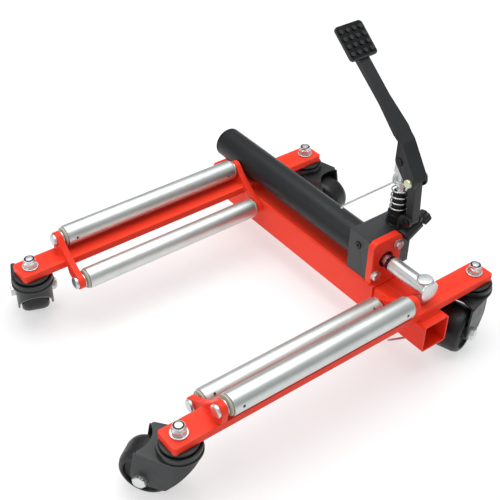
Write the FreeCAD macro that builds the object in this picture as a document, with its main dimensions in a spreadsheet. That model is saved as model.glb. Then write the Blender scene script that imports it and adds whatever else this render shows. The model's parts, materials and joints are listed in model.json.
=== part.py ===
import FreeCAD, Part
import math
import os
import re
from types import SimpleNamespace

import Sketcher

# Hydraulic wheel dolly jack. Millimetres, +Z up. X runs along the square beam towards the sliding
# arm, +Y is the beam side. Dimensions are measured from the middle plane between the kingpins. The
# finished parts are shifted so that the origin is on the floor under the middle of the whole jack.

DIMENSIONS = [
    # name, value, meaning
    ("middle_x", 17.135, "kingpin middle from the middle of the whole jack"),
    ("middle_y", 4.87, "kingpin middle from the middle of the whole jack"),
    ("arm_offset", 205.4, "arm centre line from the middle plane"),
    ("kingpin_offset", 272.75, "kingpin from the middle plane"),
    ("bar_width", 41, "flat bar of an arm"),
    ("bar_thick", 12, "flat bar of an arm"),
    ("bar_top", 116, "height of the top face of both arms"),
    ("bar_overhang", 21, "bar beyond the kingpin"),
    ("bar_chamfer", 3, "corners of the bar"),
    ("tube_axis_y", 160, "square tubes and ram, centre line"),
    ("tube_axis_z", 75.5, "square tubes, centre line"),
    ("beam_size", 57, "outer square tube"),
    ("beam_round", 4, "outer square tube, corner"),
    ("tube_wall", 3, "wall of both square tubes"),
    ("beam_left", -291, "left end of the beam"),
    ("beam_length", 421, "outer square tube"),
    ("inner_size", 50, "inner square tube"),
    ("inner_round", 5, "inner square tube, corner"),
    ("inner_left", -184.3, "left end of the inner tube"),
    ("inner_length", 425, "inner square tube"),
    ("plate_thick", 10, "roller plates"),
    ("front_plate_y", -221.5, "front face of the front roller plates"),
    ("left_rear_plate_y", 121.5, "front face of the left rear roller plate"),
    ("right_rear_plate_y", 120.7, "front face of the right rear roller plate"),
    ("lobe_radius", 12, "rounded ends of a roller plate"),
    ("waist_half_width", 7.5, "roller plate between its ends"),
    ("toe_drop", 9.4, "roller plate below the bar"),
    ("toe_reach", 3.5, "roller plate beyond the bar"),
    ("outer_roller_x", 217.8, "axis of the outer rollers"),
    ("outer_roller_z", 136.5, "axis of the outer rollers"),
    ("inner_roller_x", 156.7, "axis of the inner rollers"),
    ("inner_roller_z", 91.7, "axis of the inner rollers"),
    ("roller_radius", 16.85, "roller tube"),
    ("roller_wall", 2.6, "roller tube"),
    ("roller_front_y", -204.5, "front end of the roller tubes"),
    ("roller_length", 319, "roller tube"),
    ("grease_hole_radius", 1.9, "small hole near each end of a roller"),
    ("grease_hole_inset", 14, "small hole from the end of a roller"),
    ("grease_hole_slope", 0.45, "rise of the small hole for each step outwards"),
    ("bush_flange_radius", 15, "nylon end bush"),
    ("bush_flange_thick", 3.6, "nylon end bush"),
    ("bush_spigot_length", 15, "nylon end bush"),
    ("bush_gap", 0.15, "running clearance of a roller on its bush"),
    ("end_gap", 0.4, "clearance between roller end and bush flange"),
    ("axle_radius", 6, "roller axle rod"),
    ("axle_head_radius", 10, "round head of a roller axle rod"),
    ("axle_head_thick", 5, "round head of a roller axle rod"),
    ("thrust_washer_radius", 11, "washer beside a bush"),
    ("thrust_washer_thick", 2, "washer beside a bush"),
    ("tank_axis_z", 142, "cylinder centre line"),
    ("tank_radius", 26, "outer tube of the cylinder"),
    ("tank_wall", 3, "outer tube of the cylinder"),
    ("tank_left", -288, "left end of the cylinder"),
    ("tank_cap_thick", 6, "end cap of the cylinder"),
    ("cap_rounding", 3, "edge of the end cap"),
    ("cap_spigot", 4, "end cap inside the outer tube"),
    ("pressure_radius", 19, "inner pressure tube"),
    ("pressure_bore", 16, "radius of the bore of the pressure tube"),
    ("piston_gap", 0.1, "radial clearance of the piston"),
    ("piston_left", -272, "piston with the ram drawn in"),
    ("piston_length", 18, "piston"),
    ("block_left", 69, "pump block"),
    ("block_right", 112, "pump block"),
    ("block_front", 132.5, "pump block"),
    ("block_back", 222, "pump block"),
    ("block_bottom", 104, "pump block"),
    ("block_top", 179, "pump block"),
    ("thread_depth", 16, "bracket bolts in the block"),
    ("ram_radius", 9, "ram rod"),
    ("ram_gap", 0.1, "radial clearance of the ram rod"),
    ("ram_right", 178, "end of the ram rod inside its sleeve"),
    ("bracket_thick", 12, "ram bracket plate"),
    ("bracket_front", 131.5, "ram bracket plate"),
    ("bracket_back", 190, "ram bracket plate"),
    ("bracket_top", 180, "ram bracket plate"),
    ("bracket_corner", 9, "ram bracket plate, upper corners"),
    ("bracket_bore", 14, "hole for the ram in the plate"),
    ("gland_recess", 2, "gland ring behind the plate's face"),
    ("bolt_offset", 21, "bracket bolts from the ram centre line"),
    ("bracket_bolt_radius", 4, "M8 bolt"),
    ("bracket_bolt_flats", 13, "M8 bolt"),
    ("bracket_bolt_head", 5.3, "M8 bolt"),
    ("bracket_washer_radius", 8, "M8 washer"),
    ("bracket_washer_thick", 1.6, "M8 washer"),
    ("sleeve_left", 139, "ram sleeve"),
    ("sleeve_right", 217.7, "ram sleeve"),
    ("sleeve_radius", 12.5, "ram sleeve"),
    ("sleeve_flange_radius", 16.5, "end flange of the ram sleeve"),
    ("sleeve_flange_thick", 4, "end flange of the ram sleeve"),
    ("lock_ring_left", 130, "lock ring on the ram"),
    ("lock_ring_length", 8, "lock ring on the ram"),
    ("lock_ring_radius", 11.5, "lock ring on the ram"),
    ("ram_pin_radius", 6, "pin between ram and arm"),
    ("ram_pin_bottom", 38, "pin between ram and arm"),
    ("ram_pin_head_radius", 12.5, "pin between ram and arm"),
    ("ram_pin_top", 159.4, "pin between ram and arm"),
    ("head_lift", 0.3, "head of the ram pin above the sleeve"),
    ("ram_pin_collar", 8, "radius of the collar under the sleeve"),
    ("clip_height", 43.5, "spring clip under the tube"),
    ("clip_wire", 1.25, "radius of the clip wire"),
    ("clip_direction", -112.6, "degrees from +X to the loop of the clip"),
    ("clip_roll", 219.3, "degrees that the clip is rolled about its straight leg"),
    ("clip_tip", 14, "straight leg beyond the pin axis"),
    ("clip_reach", 38, "pin axis to the centre of the loop"),
    ("clip_loop", 6, "radius of the loop of the clip"),
    ("plug_x", 89.8, "hex socket plug in the block"),
    ("plug_z", 160.2, "hex socket plug in the block"),
    ("plug_radius", 5, "hex socket plug in the block"),
    ("plug_length", 11, "hex socket plug in the block"),
    ("plug_proud", 0.6, "plug outside the block's face"),
    ("plug_flats", 5, "hex socket of the plug"),
    ("plug_socket_depth", 4.6, "hex socket of the plug"),
    ("pump_axis_x", 97, "pump plunger"),
    ("pump_axis_y", 204, "pump plunger"),
    ("barrel_radius", 17, "pump barrel"),
    ("barrel_lip", 18.5, "foot of the pump barrel"),
    ("barrel_top", 199, "shoulder under the spring"),
    ("guide_radius", 11, "guide tube inside the spring"),
    ("guide_top", 231, "guide tube inside the spring"),
    ("plunger_radius", 8, "pump plunger"),
    ("plunger_gap", 0.1, "radial clearance of the plunger"),
    ("plunger_bottom", 150, "lower end of the plunger"),
    ("stroke_room", 15, "bore of the block below the plunger"),
    ("cap_radius", 15.9, "spring cap of the plunger"),
    ("cap_bottom", 257, "spring cap of the plunger"),
    ("cap_thick", 2.5, "spring cap of the plunger"),
    ("neck_radius", 9, "plunger neck under its head"),
    ("head_bottom", 266, "head of the plunger"),
    ("head_half_width", 12, "head of the plunger along X"),
    ("head_corner", 3, "lower corners of the plunger's head"),
    ("head_top_radius", 10.5, "rounded top of the plunger's head"),
    ("head_depth", 18, "head of the plunger along Y"),
    ("plunger_pin_z", 292, "joint of plunger and pedal"),
    ("fulcrum_x", 121.7, "joint of pedal and rocking link"),
    ("fulcrum_z", 268.3, "joint of pedal and rocking link"),
    ("link_foot_x", 126, "joint of rocking link and bracket"),
    ("link_foot_z", 200, "joint of rocking link and bracket"),
    ("link_half_width", 7.5, "rocking link, rounded ends"),
    ("link_depth", 16, "rocking link along Y"),
    ("hinge_radius", 4, "pins of the pump linkage"),
    ("hinge_gap", 0.1, "running clearance of the linkage pins"),
    ("open_pivot_gap", 1.6, "clearance of the pedal pin in the plunger head"),
    ("ear_thick", 5, "ears of the link bracket"),
    ("ear_radius", 9, "ears of the link bracket"),
    ("ear_drop", 8, "ears of the link bracket at the block, below the pin"),
    ("ear_rise", 5, "ears of the link bracket at the block, above the pin"),
    ("ear_gap", 0.5, "clearance of the rocking link between the ears"),
    ("bracket_foot_length", 8, "foot of the link bracket"),
    ("bracket_foot_height", 20, "foot of the link bracket"),
    ("hinge_head_radius", 6.5, "round heads of the linkage pins"),
    ("hinge_head_thick", 2.5, "round heads of the linkage pins"),
    ("hinge_end", 1.5, "link pin beyond the ears"),
    ("lever_pin_end", 8, "lever pins beyond the channel"),
    ("hinge_flats", 13, "fulcrum bolt and nut"),
    ("hinge_bolt_head", 5.3, "fulcrum bolt"),
    ("hinge_nut", 6.5, "fulcrum nut"),
    ("spring_radius", 14.6, "mean radius of the return spring"),
    ("spring_wire", 1.3, "radius of the spring wire"),
    ("spring_turns", 5, "coils of the return spring"),
    ("channel_half_width", 13, "pedal channel along Y"),
    ("channel_wall", 3, "sheet of the pedal channel"),
    ("lever_end_radius", 11.5, "pedal channel round the fulcrum"),
    ("lever_lobe_radius", 9, "pedal channel round the plunger pin"),
    ("lever_crown_x", 88.5, "upper corner of the cheeks"),
    ("lever_crown_z", 322.5, "upper corner of the cheeks"),
    ("taper_start_x", 40, "pedal arm starts to widen"),
    ("taper_end_x", 80, "pedal arm stops widening"),
    ("cheek_start_x", 89, "parallel cheeks of the channel"),
    ("web_angle", 33.82, "degrees of the web's end round the fulcrum"),
    ("web_cut_x", 150, "slanting end of the web"),
    ("web_cut_z", 262, "slanting end of the web"),
    ("channel_open_x", 60, "open side of the channel"),
    ("channel_open_z", 320, "open side of the channel"),
    ("arm_half_width", 10.3, "pedal arm at the pad"),
    ("bend_half_width", 14.5, "pedal arm at its bend"),
    ("arm_end_x", -33.5, "upper end of the pedal arm, inside the pad"),
    ("arm_end_z", 423.25, "upper end of the pedal arm, inside the pad"),
    ("arm_end_radius", 4.5, "half the depth of the pedal arm"),
    ("bend_x", 79, "centre of the bend of the pedal arm"),
    ("bend_z", 307, "centre of the bend of the pedal arm"),
    ("bend_radius", 25, "outer radius of the bend"),
    ("pad_length", 56.7, "foot pad along the slope"),
    ("pad_width", 52, "foot pad along Y"),
    ("pad_thick", 4, "foot pad"),
    ("pad_slope", 39, "degrees of the foot pad"),
    ("pad_top_x", -51, "upper edge of the foot pad"),
    ("pad_top_z", 448.7, "upper edge of the foot pad"),
    ("pad_corner", 6, "foot pad"),
    ("stud_radius", 3.4, "anti-slip studs"),
    ("stud_height", 2.2, "anti-slip studs"),
    ("stud_root", 0.5, "anti-slip studs below the pad's face"),
    ("stud_pitch", 12.4, "anti-slip studs"),
    ("valve_x", 122.5, "release valve"),
    ("valve_y", 196, "release valve, inner end"),
    ("valve_z", 168, "release valve, inner end"),
    ("valve_tilt", 30, "degrees of the release valve above +Y"),
    ("valve_radius", 9.5, "boss of the release valve"),
    ("valve_length", 32, "boss of the release valve"),
    ("valve_lug_length", 22, "lug that carries the boss"),
    ("stem_radius", 4, "release valve stem"),
    ("knob_radius", 9.5, "release knob"),
    ("knob_length", 16, "release knob"),
    ("knob_gap", 3, "stem showing between boss and knob"),
    ("flute_radius", 3, "flutes of the release knob"),
    ("flute_circle", 10.5, "centres of the flutes from the valve axis"),
    ("hook_wire", 1.4, "radius of the hold-down hook wire"),
    ("hook_eye_radius", 10.9, "eye of the hook"),
    ("hook_eye_z", 250, "eye of the hook"),
    ("hook_end_x", 21.6, "free end of the hook"),
    ("hook_end_y", 158.6, "free end of the hook"),
    ("hook_end_z", 183, "free end of the hook"),
    ("hook_tip", 7, "bent tip of the hook"),
    ("wheel_radius", 38, "caster wheel"),
    ("wheel_gap", 0.15, "running clearance of a wheel on its bolt"),
    ("wheel_edge", 1, "small roundings of the wheel"),
    ("wheel_fillet", 2, "roundings of the wheel's recess"),
    ("wheel_half_width", 22, "caster wheel"),
    ("hub_half_width", 24.4, "caster wheel hub"),
    ("hub_radius", 13, "caster wheel hub"),
    ("recess_half_width", 16, "caster wheel between hub and rim"),
    ("rim_radius", 29, "caster wheel, inner edge of the rim"),
    ("tread_rounding", 9, "caster wheel, tread edges"),
    ("caster_trail", 45.5, "caster axle from the kingpin"),
    ("fork_half_width", 28, "caster fork"),
    ("fork_sheet", 3, "caster fork"),
    ("fork_back", 62, "rear edge of the fork before trimming"),
    ("fork_top", 86, "underside of the fork's top plate"),
    ("fork_bottom", 27, "lower edge of the fork"),
    ("fork_low_front", 11, "front corner of the cheek's lower edge"),
    ("fork_low_back", 55, "rear corner of the cheek's lower edge"),
    ("fork_low_rounding", 12, "rear corner of the cheek's lower edge"),
    ("fork_heel", 61, "rearmost corner of the cheek"),
    ("fork_heel_z", 40, "rearmost corner of the cheek"),
    ("fork_heel_rounding", 10, "rearmost corner of the cheek"),
    ("fork_shoulder", 53, "rear edge of the cheek at its top"),
    ("fork_nose", 34, "front of the hood at its top"),
    ("fork_nose_low", 31, "front of the hood where it starts to slant"),
    ("fork_nose_z", 80, "front of the hood where it starts to slant"),
    ("fork_nose_rounding", 7, "front corners of the hood"),
    ("head_plate_radius", 32.5, "top plate of the fork"),
    ("head_plate_back", 50, "top plate of the fork"),
    ("head_plate_corner", 4, "rear corners of the top plate"),
    ("head_plate_overhang", 1.2, "top plate beyond the cheeks"),
    ("notch_centre", 77.5, "round notch in the top plate above the wheel"),
    ("notch_radius", 36.5, "round notch in the top plate above the wheel"),
    ("cup_radius", 31, "race cup on the fork"),
    ("cup_top", 98, "race cup on the fork"),
    ("race_radius", 27, "upper race under the bar"),
    ("race_bottom", 95.5, "upper race under the bar"),
    ("kingpin_radius", 6, "M12 kingpin"),
    ("kingpin_gap", 0.3, "fork bore round the kingpin"),
    ("kingpin_top", 133, "M12 kingpin"),
    ("kingpin_head", 7.5, "M12 head under the fork"),
    ("kingpin_flats", 19, "M12 hexagons"),
    ("kingpin_washer_radius", 13, "M12 washer"),
    ("kingpin_washer_thick", 2.5, "M12 washer"),
    ("kingpin_nut_hex", 8.5, "hexagon of the lock nut"),
    ("kingpin_nut_collar", 8.6, "radius of the lock nut's collar"),
    ("kingpin_nut_height", 13, "lock nut"),
    ("axle_flats", 18, "caster axle hexagons"),
    ("axle_bolt_head", 7.5, "caster axle bolt"),
    ("axle_nut", 10, "caster axle nut"),
    ("axle_end", 1, "caster axle bolt beyond its nut"),
    ("swivel_front_left", 160.3, "degrees from +X to the wheel"),
    ("swivel_rear_left", 19.7, "degrees from +X to the wheel"),
    ("swivel_front_right", -145.4, "degrees from +X to the wheel"),
    ("swivel_rear_right", -71.6, "degrees from +X to the wheel"),
]
ALIASES = {alias for alias, value, meaning in DIMENSIONS}

AXES = {
    "x": FreeCAD.Rotation(FreeCAD.Vector(0, 0, 1), FreeCAD.Vector(1, 0, 0)),
    "y": FreeCAD.Rotation(FreeCAD.Vector(0, 0, 1), FreeCAD.Vector(0, 1, 0)),
    "z": FreeCAD.Rotation(),
}
LONG = "600"
LONG_VALUE = float(LONG)
STUD_ROWS = 4
KNOB_FLUTES = 6

document = FreeCAD.newDocument("WheelDollyJack")
sheet = document.addObject("Spreadsheet::Sheet", "Dims")
for row, (alias, value, meaning) in enumerate(DIMENSIONS, start=1):
    sheet.set(f"A{row}", meaning)
    sheet.set(f"B{row}", str(value))
    sheet.setAlias(f"B{row}", alias)
document.recompute()

# The sheet's values, for outlines and angles that are worked out here.
d = SimpleNamespace(**{alias: float(sheet.get(alias)) for alias in ALIASES})
parts = []


def bound(formula):
    """The formula with each name written as a reference to the sheet."""
    return re.sub(
        r"[a-z]\w*",
        lambda word: "Dims." + word[0] if word[0] in ALIASES else word[0],
        str(formula),
    )


def bind(item, name, formula):
    item.setExpression(name, bound(formula))


def move(item, base, rotation=None):
    """Put an object at three formulas."""
    if rotation is not None:
        item.Placement = FreeCAD.Placement(FreeCAD.Vector(), rotation)
    for letter, formula in zip("xyz", base):
        bind(item, "Placement.Base." + letter, formula)


def kept(item, label):
    """Register an object as a sub-part under its label."""
    item.Label = label
    parts.append(item)
    return item


def cylinder(name, radius, length, base, axis="z"):
    item = document.addObject("Part::Cylinder", name)
    bind(item, "Radius", radius)
    bind(item, "Height", length)
    rotation = AXES[axis] if isinstance(axis, str) else axis
    move(item, base, rotation)
    return item


def box(name, length, width, height, base, rotation=None):
    item = document.addObject("Part::Box", name)
    bind(item, "Length", length)
    bind(item, "Width", width)
    bind(item, "Height", height)
    move(item, base, rotation)
    return item


def hexagon(name, flats, height, base, axis="z"):
    """A hexagonal prism measured across its flats."""
    item = document.addObject("Part::Prism", name)
    item.Polygon = 6
    bind(item, "Circumradius", f"({flats}) / sqrt(3)")
    bind(item, "Height", height)
    move(item, base, AXES[axis])
    return item


def fuse(name, items):
    item = document.addObject("Part::MultiFuse", name)
    item.Shapes = items
    return item


def cut(name, base, tools):
    item = document.addObject("Part::Cut", name)
    item.Base = base
    item.Tool = tools[0] if len(tools) == 1 else fuse(name + "_tools", tools)
    return item


def common(name, items):
    item = document.addObject("Part::MultiCommon", name)
    item.Shapes = items
    return item


def group(label, items):
    """Separate identical solids kept together as one sub-part."""
    item = document.addObject("Part::Compound", label)
    item.Links = items
    return kept(item, label)


def rounded(points):
    """Turn corners (x, y) or (x, y, rounding) into the circles that round them."""
    nodes = []
    for index, point in enumerate(points):
        radius = point[2] if len(point) > 2 else 0
        if not radius:
            nodes.append((point[0], point[1], 0))
            continue
        before = points[index - 1]
        after = points[(index + 1) % len(points)]
        arriving = math.hypot(point[0] - before[0], point[1] - before[1])
        leaving = math.hypot(after[0] - point[0], after[1] - point[1])
        u = ((point[0] - before[0]) / arriving, (point[1] - before[1]) / arriving)
        w = ((after[0] - point[0]) / leaving, (after[1] - point[1]) / leaving)
        turn = math.copysign(1, u[0] * w[1] - u[1] * w[0])
        reach = turn * radius / (1 + u[0] * w[0] + u[1] * w[1])
        centre_x = point[0] - reach * (u[1] + w[1])
        centre_y = point[1] + reach * (u[0] + w[0])
        nodes.append((centre_x, centre_y, turn * radius))
    return nodes


def belt(sketch, nodes):
    """Draw the counter-clockwise outline that is tangent to circles (x, y, radius).

    Radius 0 is a sharp corner. A negative radius is a hollow stretch, with the circle outside.
    """
    contacts = []
    for index, (x0, y0, r0) in enumerate(nodes):
        x1, y1, r1 = nodes[(index + 1) % len(nodes)]
        span = math.hypot(x1 - x0, y1 - y0)
        along = ((x1 - x0) / span, (y1 - y0) / span)
        sine = (r0 - r1) / span
        cosine = math.sqrt(max(1 - sine * sine, 0))
        normal = (
            cosine * along[1] + sine * along[0],
            sine * along[1] - cosine * along[0],
        )
        start = (x0 + r0 * normal[0], y0 + r0 * normal[1])
        end = (x1 + r1 * normal[0], y1 + r1 * normal[1])
        contacts.append((start, end))
    for index, (start, end) in enumerate(contacts):
        following = (index + 1) % len(nodes)
        if math.dist(start, end) > 1e-4:
            line = Part.LineSegment(FreeCAD.Vector(*start, 0), FreeCAD.Vector(*end, 0))
            sketch.addGeometry(line, False)
        x, y, radius = nodes[following]
        if not radius:
            continue
        first, last = end, contacts[following][0]
        if radius < 0:
            first, last = last, first
        circle = Part.Circle(FreeCAD.Vector(x, y, 0), FreeCAD.Vector(0, 0, 1), abs(radius))
        angles = [math.atan2(point[1] - y, point[0] - x) for point in (first, last)]
        sketch.addGeometry(Part.ArcOfCircle(circle, *angles), False)


def hole(sketch, x, y, radius):
    """A circle in a sketch, its radius bound to the sheet."""
    circle = Part.Circle(FreeCAD.Vector(x, y, 0), FreeCAD.Vector(0, 0, 1), 1)
    index = sketch.addGeometry(circle, False)
    constraint = sketch.addConstraint(Sketcher.Constraint("Radius", index, 1))
    name = f"radius_{constraint}"
    sketch.renameConstraint(constraint, name)
    bind(sketch, "Constraints." + name, radius)


def new_body(name):
    return document.addObject("PartDesign::Body", name)


def new_sketch(body, name, role):
    sketch = body.newObject("Sketcher::SketchObject", name)
    plane = [item for item in body.Origin.OriginFeatures if item.Role == role][0]
    sketch.AttachmentSupport = (plane, [""])
    sketch.MapMode = "FlatFace"
    return sketch


def pad(name, role, outlines, length, holes=()):
    """A body padded from outlines on an origin plane towards +X, +Y or +Z."""
    body = new_body(name)
    sketch = new_sketch(body, name + "_outline", role)
    for nodes in outlines:
        belt(sketch, nodes)
    for x, y, radius in holes:
        hole(sketch, x, y, radius)
    feature = body.newObject("PartDesign::Pad", name + "_pad")
    feature.Profile = sketch
    bind(feature, "Length", length)
    feature.Reversed = role == "XZ_Plane"
    return body


def revolve(name, role, outline, axis):
    """A body revolved from one outline about an axis of its own sketch."""
    body = new_body(name)
    sketch = new_sketch(body, name + "_outline", role)
    belt(sketch, rounded(outline))
    feature = body.newObject("PartDesign::Revolution", name + "_revolution")
    feature.Profile = sketch
    feature.ReferenceAxis = (sketch, [axis])
    feature.Angle = 360
    return body


def rectangle(centre_x, centre_y, width, height, rounding):
    left, right = centre_x - width / 2, centre_x + width / 2
    low, high = centre_y - height / 2, centre_y + height / 2
    corners = [(left, low), (right, low), (right, high), (left, high)]
    return rounded([(x, y, rounding) for x, y in corners])


# ---------------------------------------------------------------- square tubes and arms


def square_tube(label, width, rounding, left, length, drills=()):
    bore = width - 2 * d.tube_wall
    inner_rounding = max(rounding - d.tube_wall, 1)
    outer = rectangle(d.tube_axis_y, d.tube_axis_z, width, width, rounding)
    inner = rectangle(d.tube_axis_y, d.tube_axis_z, bore, bore, inner_rounding)
    body = pad(label + "_tube", "YZ_Plane", [outer, inner], length)
    move(body, (left, 0, 0))
    if not drills:
        return kept(body, label)
    return kept(cut(label + "_drilled", body, list(drills)), label)


def arm_bar(label, side):
    half_width = d.bar_width / 2
    half_length = d.kingpin_offset + d.bar_overhang
    short_x = half_width - d.bar_chamfer
    short_y = half_length - d.bar_chamfer
    corners = [
        (-short_x, -half_length, 0), (short_x, -half_length, 0),
        (half_width, -short_y, 0), (half_width, short_y, 0),
        (short_x, half_length, 0), (-short_x, half_length, 0),
        (-half_width, short_y, 0), (-half_width, -short_y, 0),
    ]
    holes = [(0, sign * d.kingpin_offset, "kingpin_radius") for sign in (-1, 1)]
    if side > 0:
        holes.append((0, d.tube_axis_y, "ram_pin_radius"))
    body = pad(label, "XY_Plane", [corners], "bar_thick", holes)
    move(body, (f"{side} * arm_offset", 0, "bar_top - bar_thick"))
    return kept(body, label)


square_tube("main_beam", d.beam_size, d.beam_round, "beam_left", "beam_length")
ram_pin_drill = cylinder(
    "ram_pin_drill", "ram_pin_radius", "bar_top",
    ("arm_offset", "tube_axis_y", 0),
)
square_tube(
    "inner_tube", d.inner_size, d.inner_round, "inner_left", "inner_length", [ram_pin_drill],
)
arm_bar("left_arm_bar", -1)
arm_bar("right_arm_bar", 1)

packing = box(
    "packing_block", "bar_width", "inner_size - 2 * inner_round",
    "bar_top - bar_thick - tube_axis_z - inner_size / 2",
    (
        "arm_offset - bar_width / 2",
        "tube_axis_y - inner_size / 2 + inner_round",
        "tube_axis_z + inner_size / 2",
    ),
)
kept(cut("packing_drilled", packing, [ram_pin_drill]), "packing_plate")


# ---------------------------------------------------------------- roller plates


def roller_plate(label, side, front_y):
    """A dog-bone plate standing on the bar, with one lobe for each roller axle."""
    lobe = d.lobe_radius
    outer = (-d.outer_roller_x, d.outer_roller_z)
    inner = (-d.inner_roller_x, d.inner_roller_z)
    far_edge = -d.arm_offset - d.bar_width / 2
    near_edge = -d.arm_offset + d.bar_width / 2
    bar_low = d.bar_top - d.bar_thick
    half = math.dist(outer, inner) / 2
    waist = (half ** 2 + d.waist_half_width ** 2 - lobe ** 2) / (2 * (lobe - d.waist_half_width))
    away = ((outer[1] - inner[1]) / half / 2, (inner[0] - outer[0]) / half / 2)
    reach = waist + d.waist_half_width
    hollow_x = (outer[0] + inner[0]) / 2 + reach * away[0]
    hollow_z = (outer[1] + inner[1]) / 2 + reach * away[1]
    nodes = [
        (far_edge, d.bar_top, 0),
        (near_edge, d.bar_top, 0),
        (near_edge, bar_low, 0),
        (near_edge + d.toe_reach, bar_low - d.toe_drop, 0),
        (*inner, lobe),
        (hollow_x, hollow_z, -waist),
        (*outer, lobe),
    ]
    if side > 0:
        nodes = [(-x, z, radius) for x, z, radius in reversed(nodes)]
    holes = [(side * -x, z, "axle_radius") for x, z in (outer, inner)]
    body = pad(label, "XZ_Plane", [nodes], "plate_thick", holes)
    move(body, (0, front_y, 0))
    return kept(body, label)


for arm, side in (("left", -1), ("right", 1)):
    roller_plate(arm + "_front_roller_plate", side, "front_plate_y")
    roller_plate(arm + "_rear_roller_plate", side, arm + "_rear_plate_y")


# ---------------------------------------------------------------- rollers and their axles


def ring(name, radius, bore, length, base, axis):
    """A washer, bush or tube: a cylinder with a bore."""
    outer = cylinder(name + "_outer", radius, length, base, axis)
    inner = cylinder(name + "_bore", bore, length, base, axis)
    return cut(name, outer, [inner])


def roller_tube(label, x, z):
    outer = cylinder(
        label + "_outer", "roller_radius", "roller_length", (x, "roller_front_y", z), "y",
    )
    bore = cylinder(
        label + "_bore", "roller_radius - roller_wall", "roller_length",
        (x, "roller_front_y", z), "y",
    )
    tools = [bore]
    for end, inset in (
        ("front", "roller_front_y + grease_hole_inset"),
        ("rear", "roller_front_y + roller_length - grease_hole_inset"),
    ):
        towards = FreeCAD.Rotation(FreeCAD.Vector(0, 0, 1), FreeCAD.Vector(1, 0, d.grease_hole_slope))
        drill = cylinder(
            f"{label}_{end}_drill", "grease_hole_radius", "roller_radius * 2",
            (x, inset, z), towards,
        )
        tools.append(drill)
    return kept(cut(label + "_bored", outer, tools), label)


def end_bush(name, x, z, front):
    """A flanged nylon bush: the flange outside the tube, the spigot inside it."""
    flange_y = (
        "roller_front_y - end_gap - bush_flange_thick"
        if front
        else "roller_front_y + roller_length + end_gap"
    )
    spigot_y = (
        "roller_front_y - end_gap"
        if front
        else "roller_front_y + roller_length + end_gap - bush_spigot_length"
    )
    flange = cylinder(
        name + "_flange", "bush_flange_radius", "bush_flange_thick", (x, flange_y, z), "y",
    )
    spigot = cylinder(
        name + "_spigot", "roller_radius - roller_wall - bush_gap", "bush_spigot_length",
        (x, spigot_y, z), "y",
    )
    bore = cylinder(name + "_bore", "axle_radius", LONG, (x, "-" + LONG + " / 2", z), "y")
    return cut(name, fuse(name + "_solid", [flange, spigot]), [bore])


def axle_rod(name, x, z, rear_y):
    head = cylinder(
        name + "_head", "axle_head_radius", "axle_head_thick",
        (x, "front_plate_y - axle_head_thick", z), "y",
    )
    rod = cylinder(
        name + "_rod", "axle_radius", f"{rear_y} + plate_thick - front_plate_y",
        (x, "front_plate_y", z), "y",
    )
    return fuse(name, [head, rod])


def thrust_washers(name, x, z, rear_y):
    washers = []
    for end, base_y in (
        ("front", "front_plate_y + plate_thick"),
        ("rear", f"{rear_y} - thrust_washer_thick"),
    ):
        washer = ring(
            f"{name}_{end}", "thrust_washer_radius", "axle_radius", "thrust_washer_thick",
            (x, base_y, z), "y",
        )
        washers.append(washer)
    return washers


for arm, side in (("left", -1), ("right", 1)):
    rods = []
    bushes = []
    for row in ("outer", "inner"):
        name = f"{arm}_{row}"
        x = f"{side} * {row}_roller_x"
        z = f"{row}_roller_z"
        rear_y = arm + "_rear_plate_y"
        roller_tube(name + "_roller", x, z)
        rods.append(axle_rod(name + "_axle", x, z, rear_y))
        rods += thrust_washers(name + "_washer", x, z, rear_y)
        bushes += [end_bush(f"{name}_bush_{end}", x, z, end == "front") for end in ("front", "rear")]
    group(arm + "_roller_axles", rods)
    group(arm + "_roller_bushes", bushes)


# ---------------------------------------------------------------- casters


def caster_place(arm, end, along=0, height=0):
    """Placement of a caster's own frame: u away from the kingpin to the wheel, z from the floor."""
    x = d.arm_offset if arm == "right" else -d.arm_offset
    y = d.kingpin_offset if end == "rear" else -d.kingpin_offset
    angle = getattr(d, f"swivel_{end}_{arm}")
    turn = FreeCAD.Rotation(FreeCAD.Vector(0, 0, 1), angle)
    kingpin = FreeCAD.Placement(FreeCAD.Vector(x, y, 0), turn)
    return kingpin.multiply(FreeCAD.Placement(FreeCAD.Vector(along, 0, height), FreeCAD.Rotation()))


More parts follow.
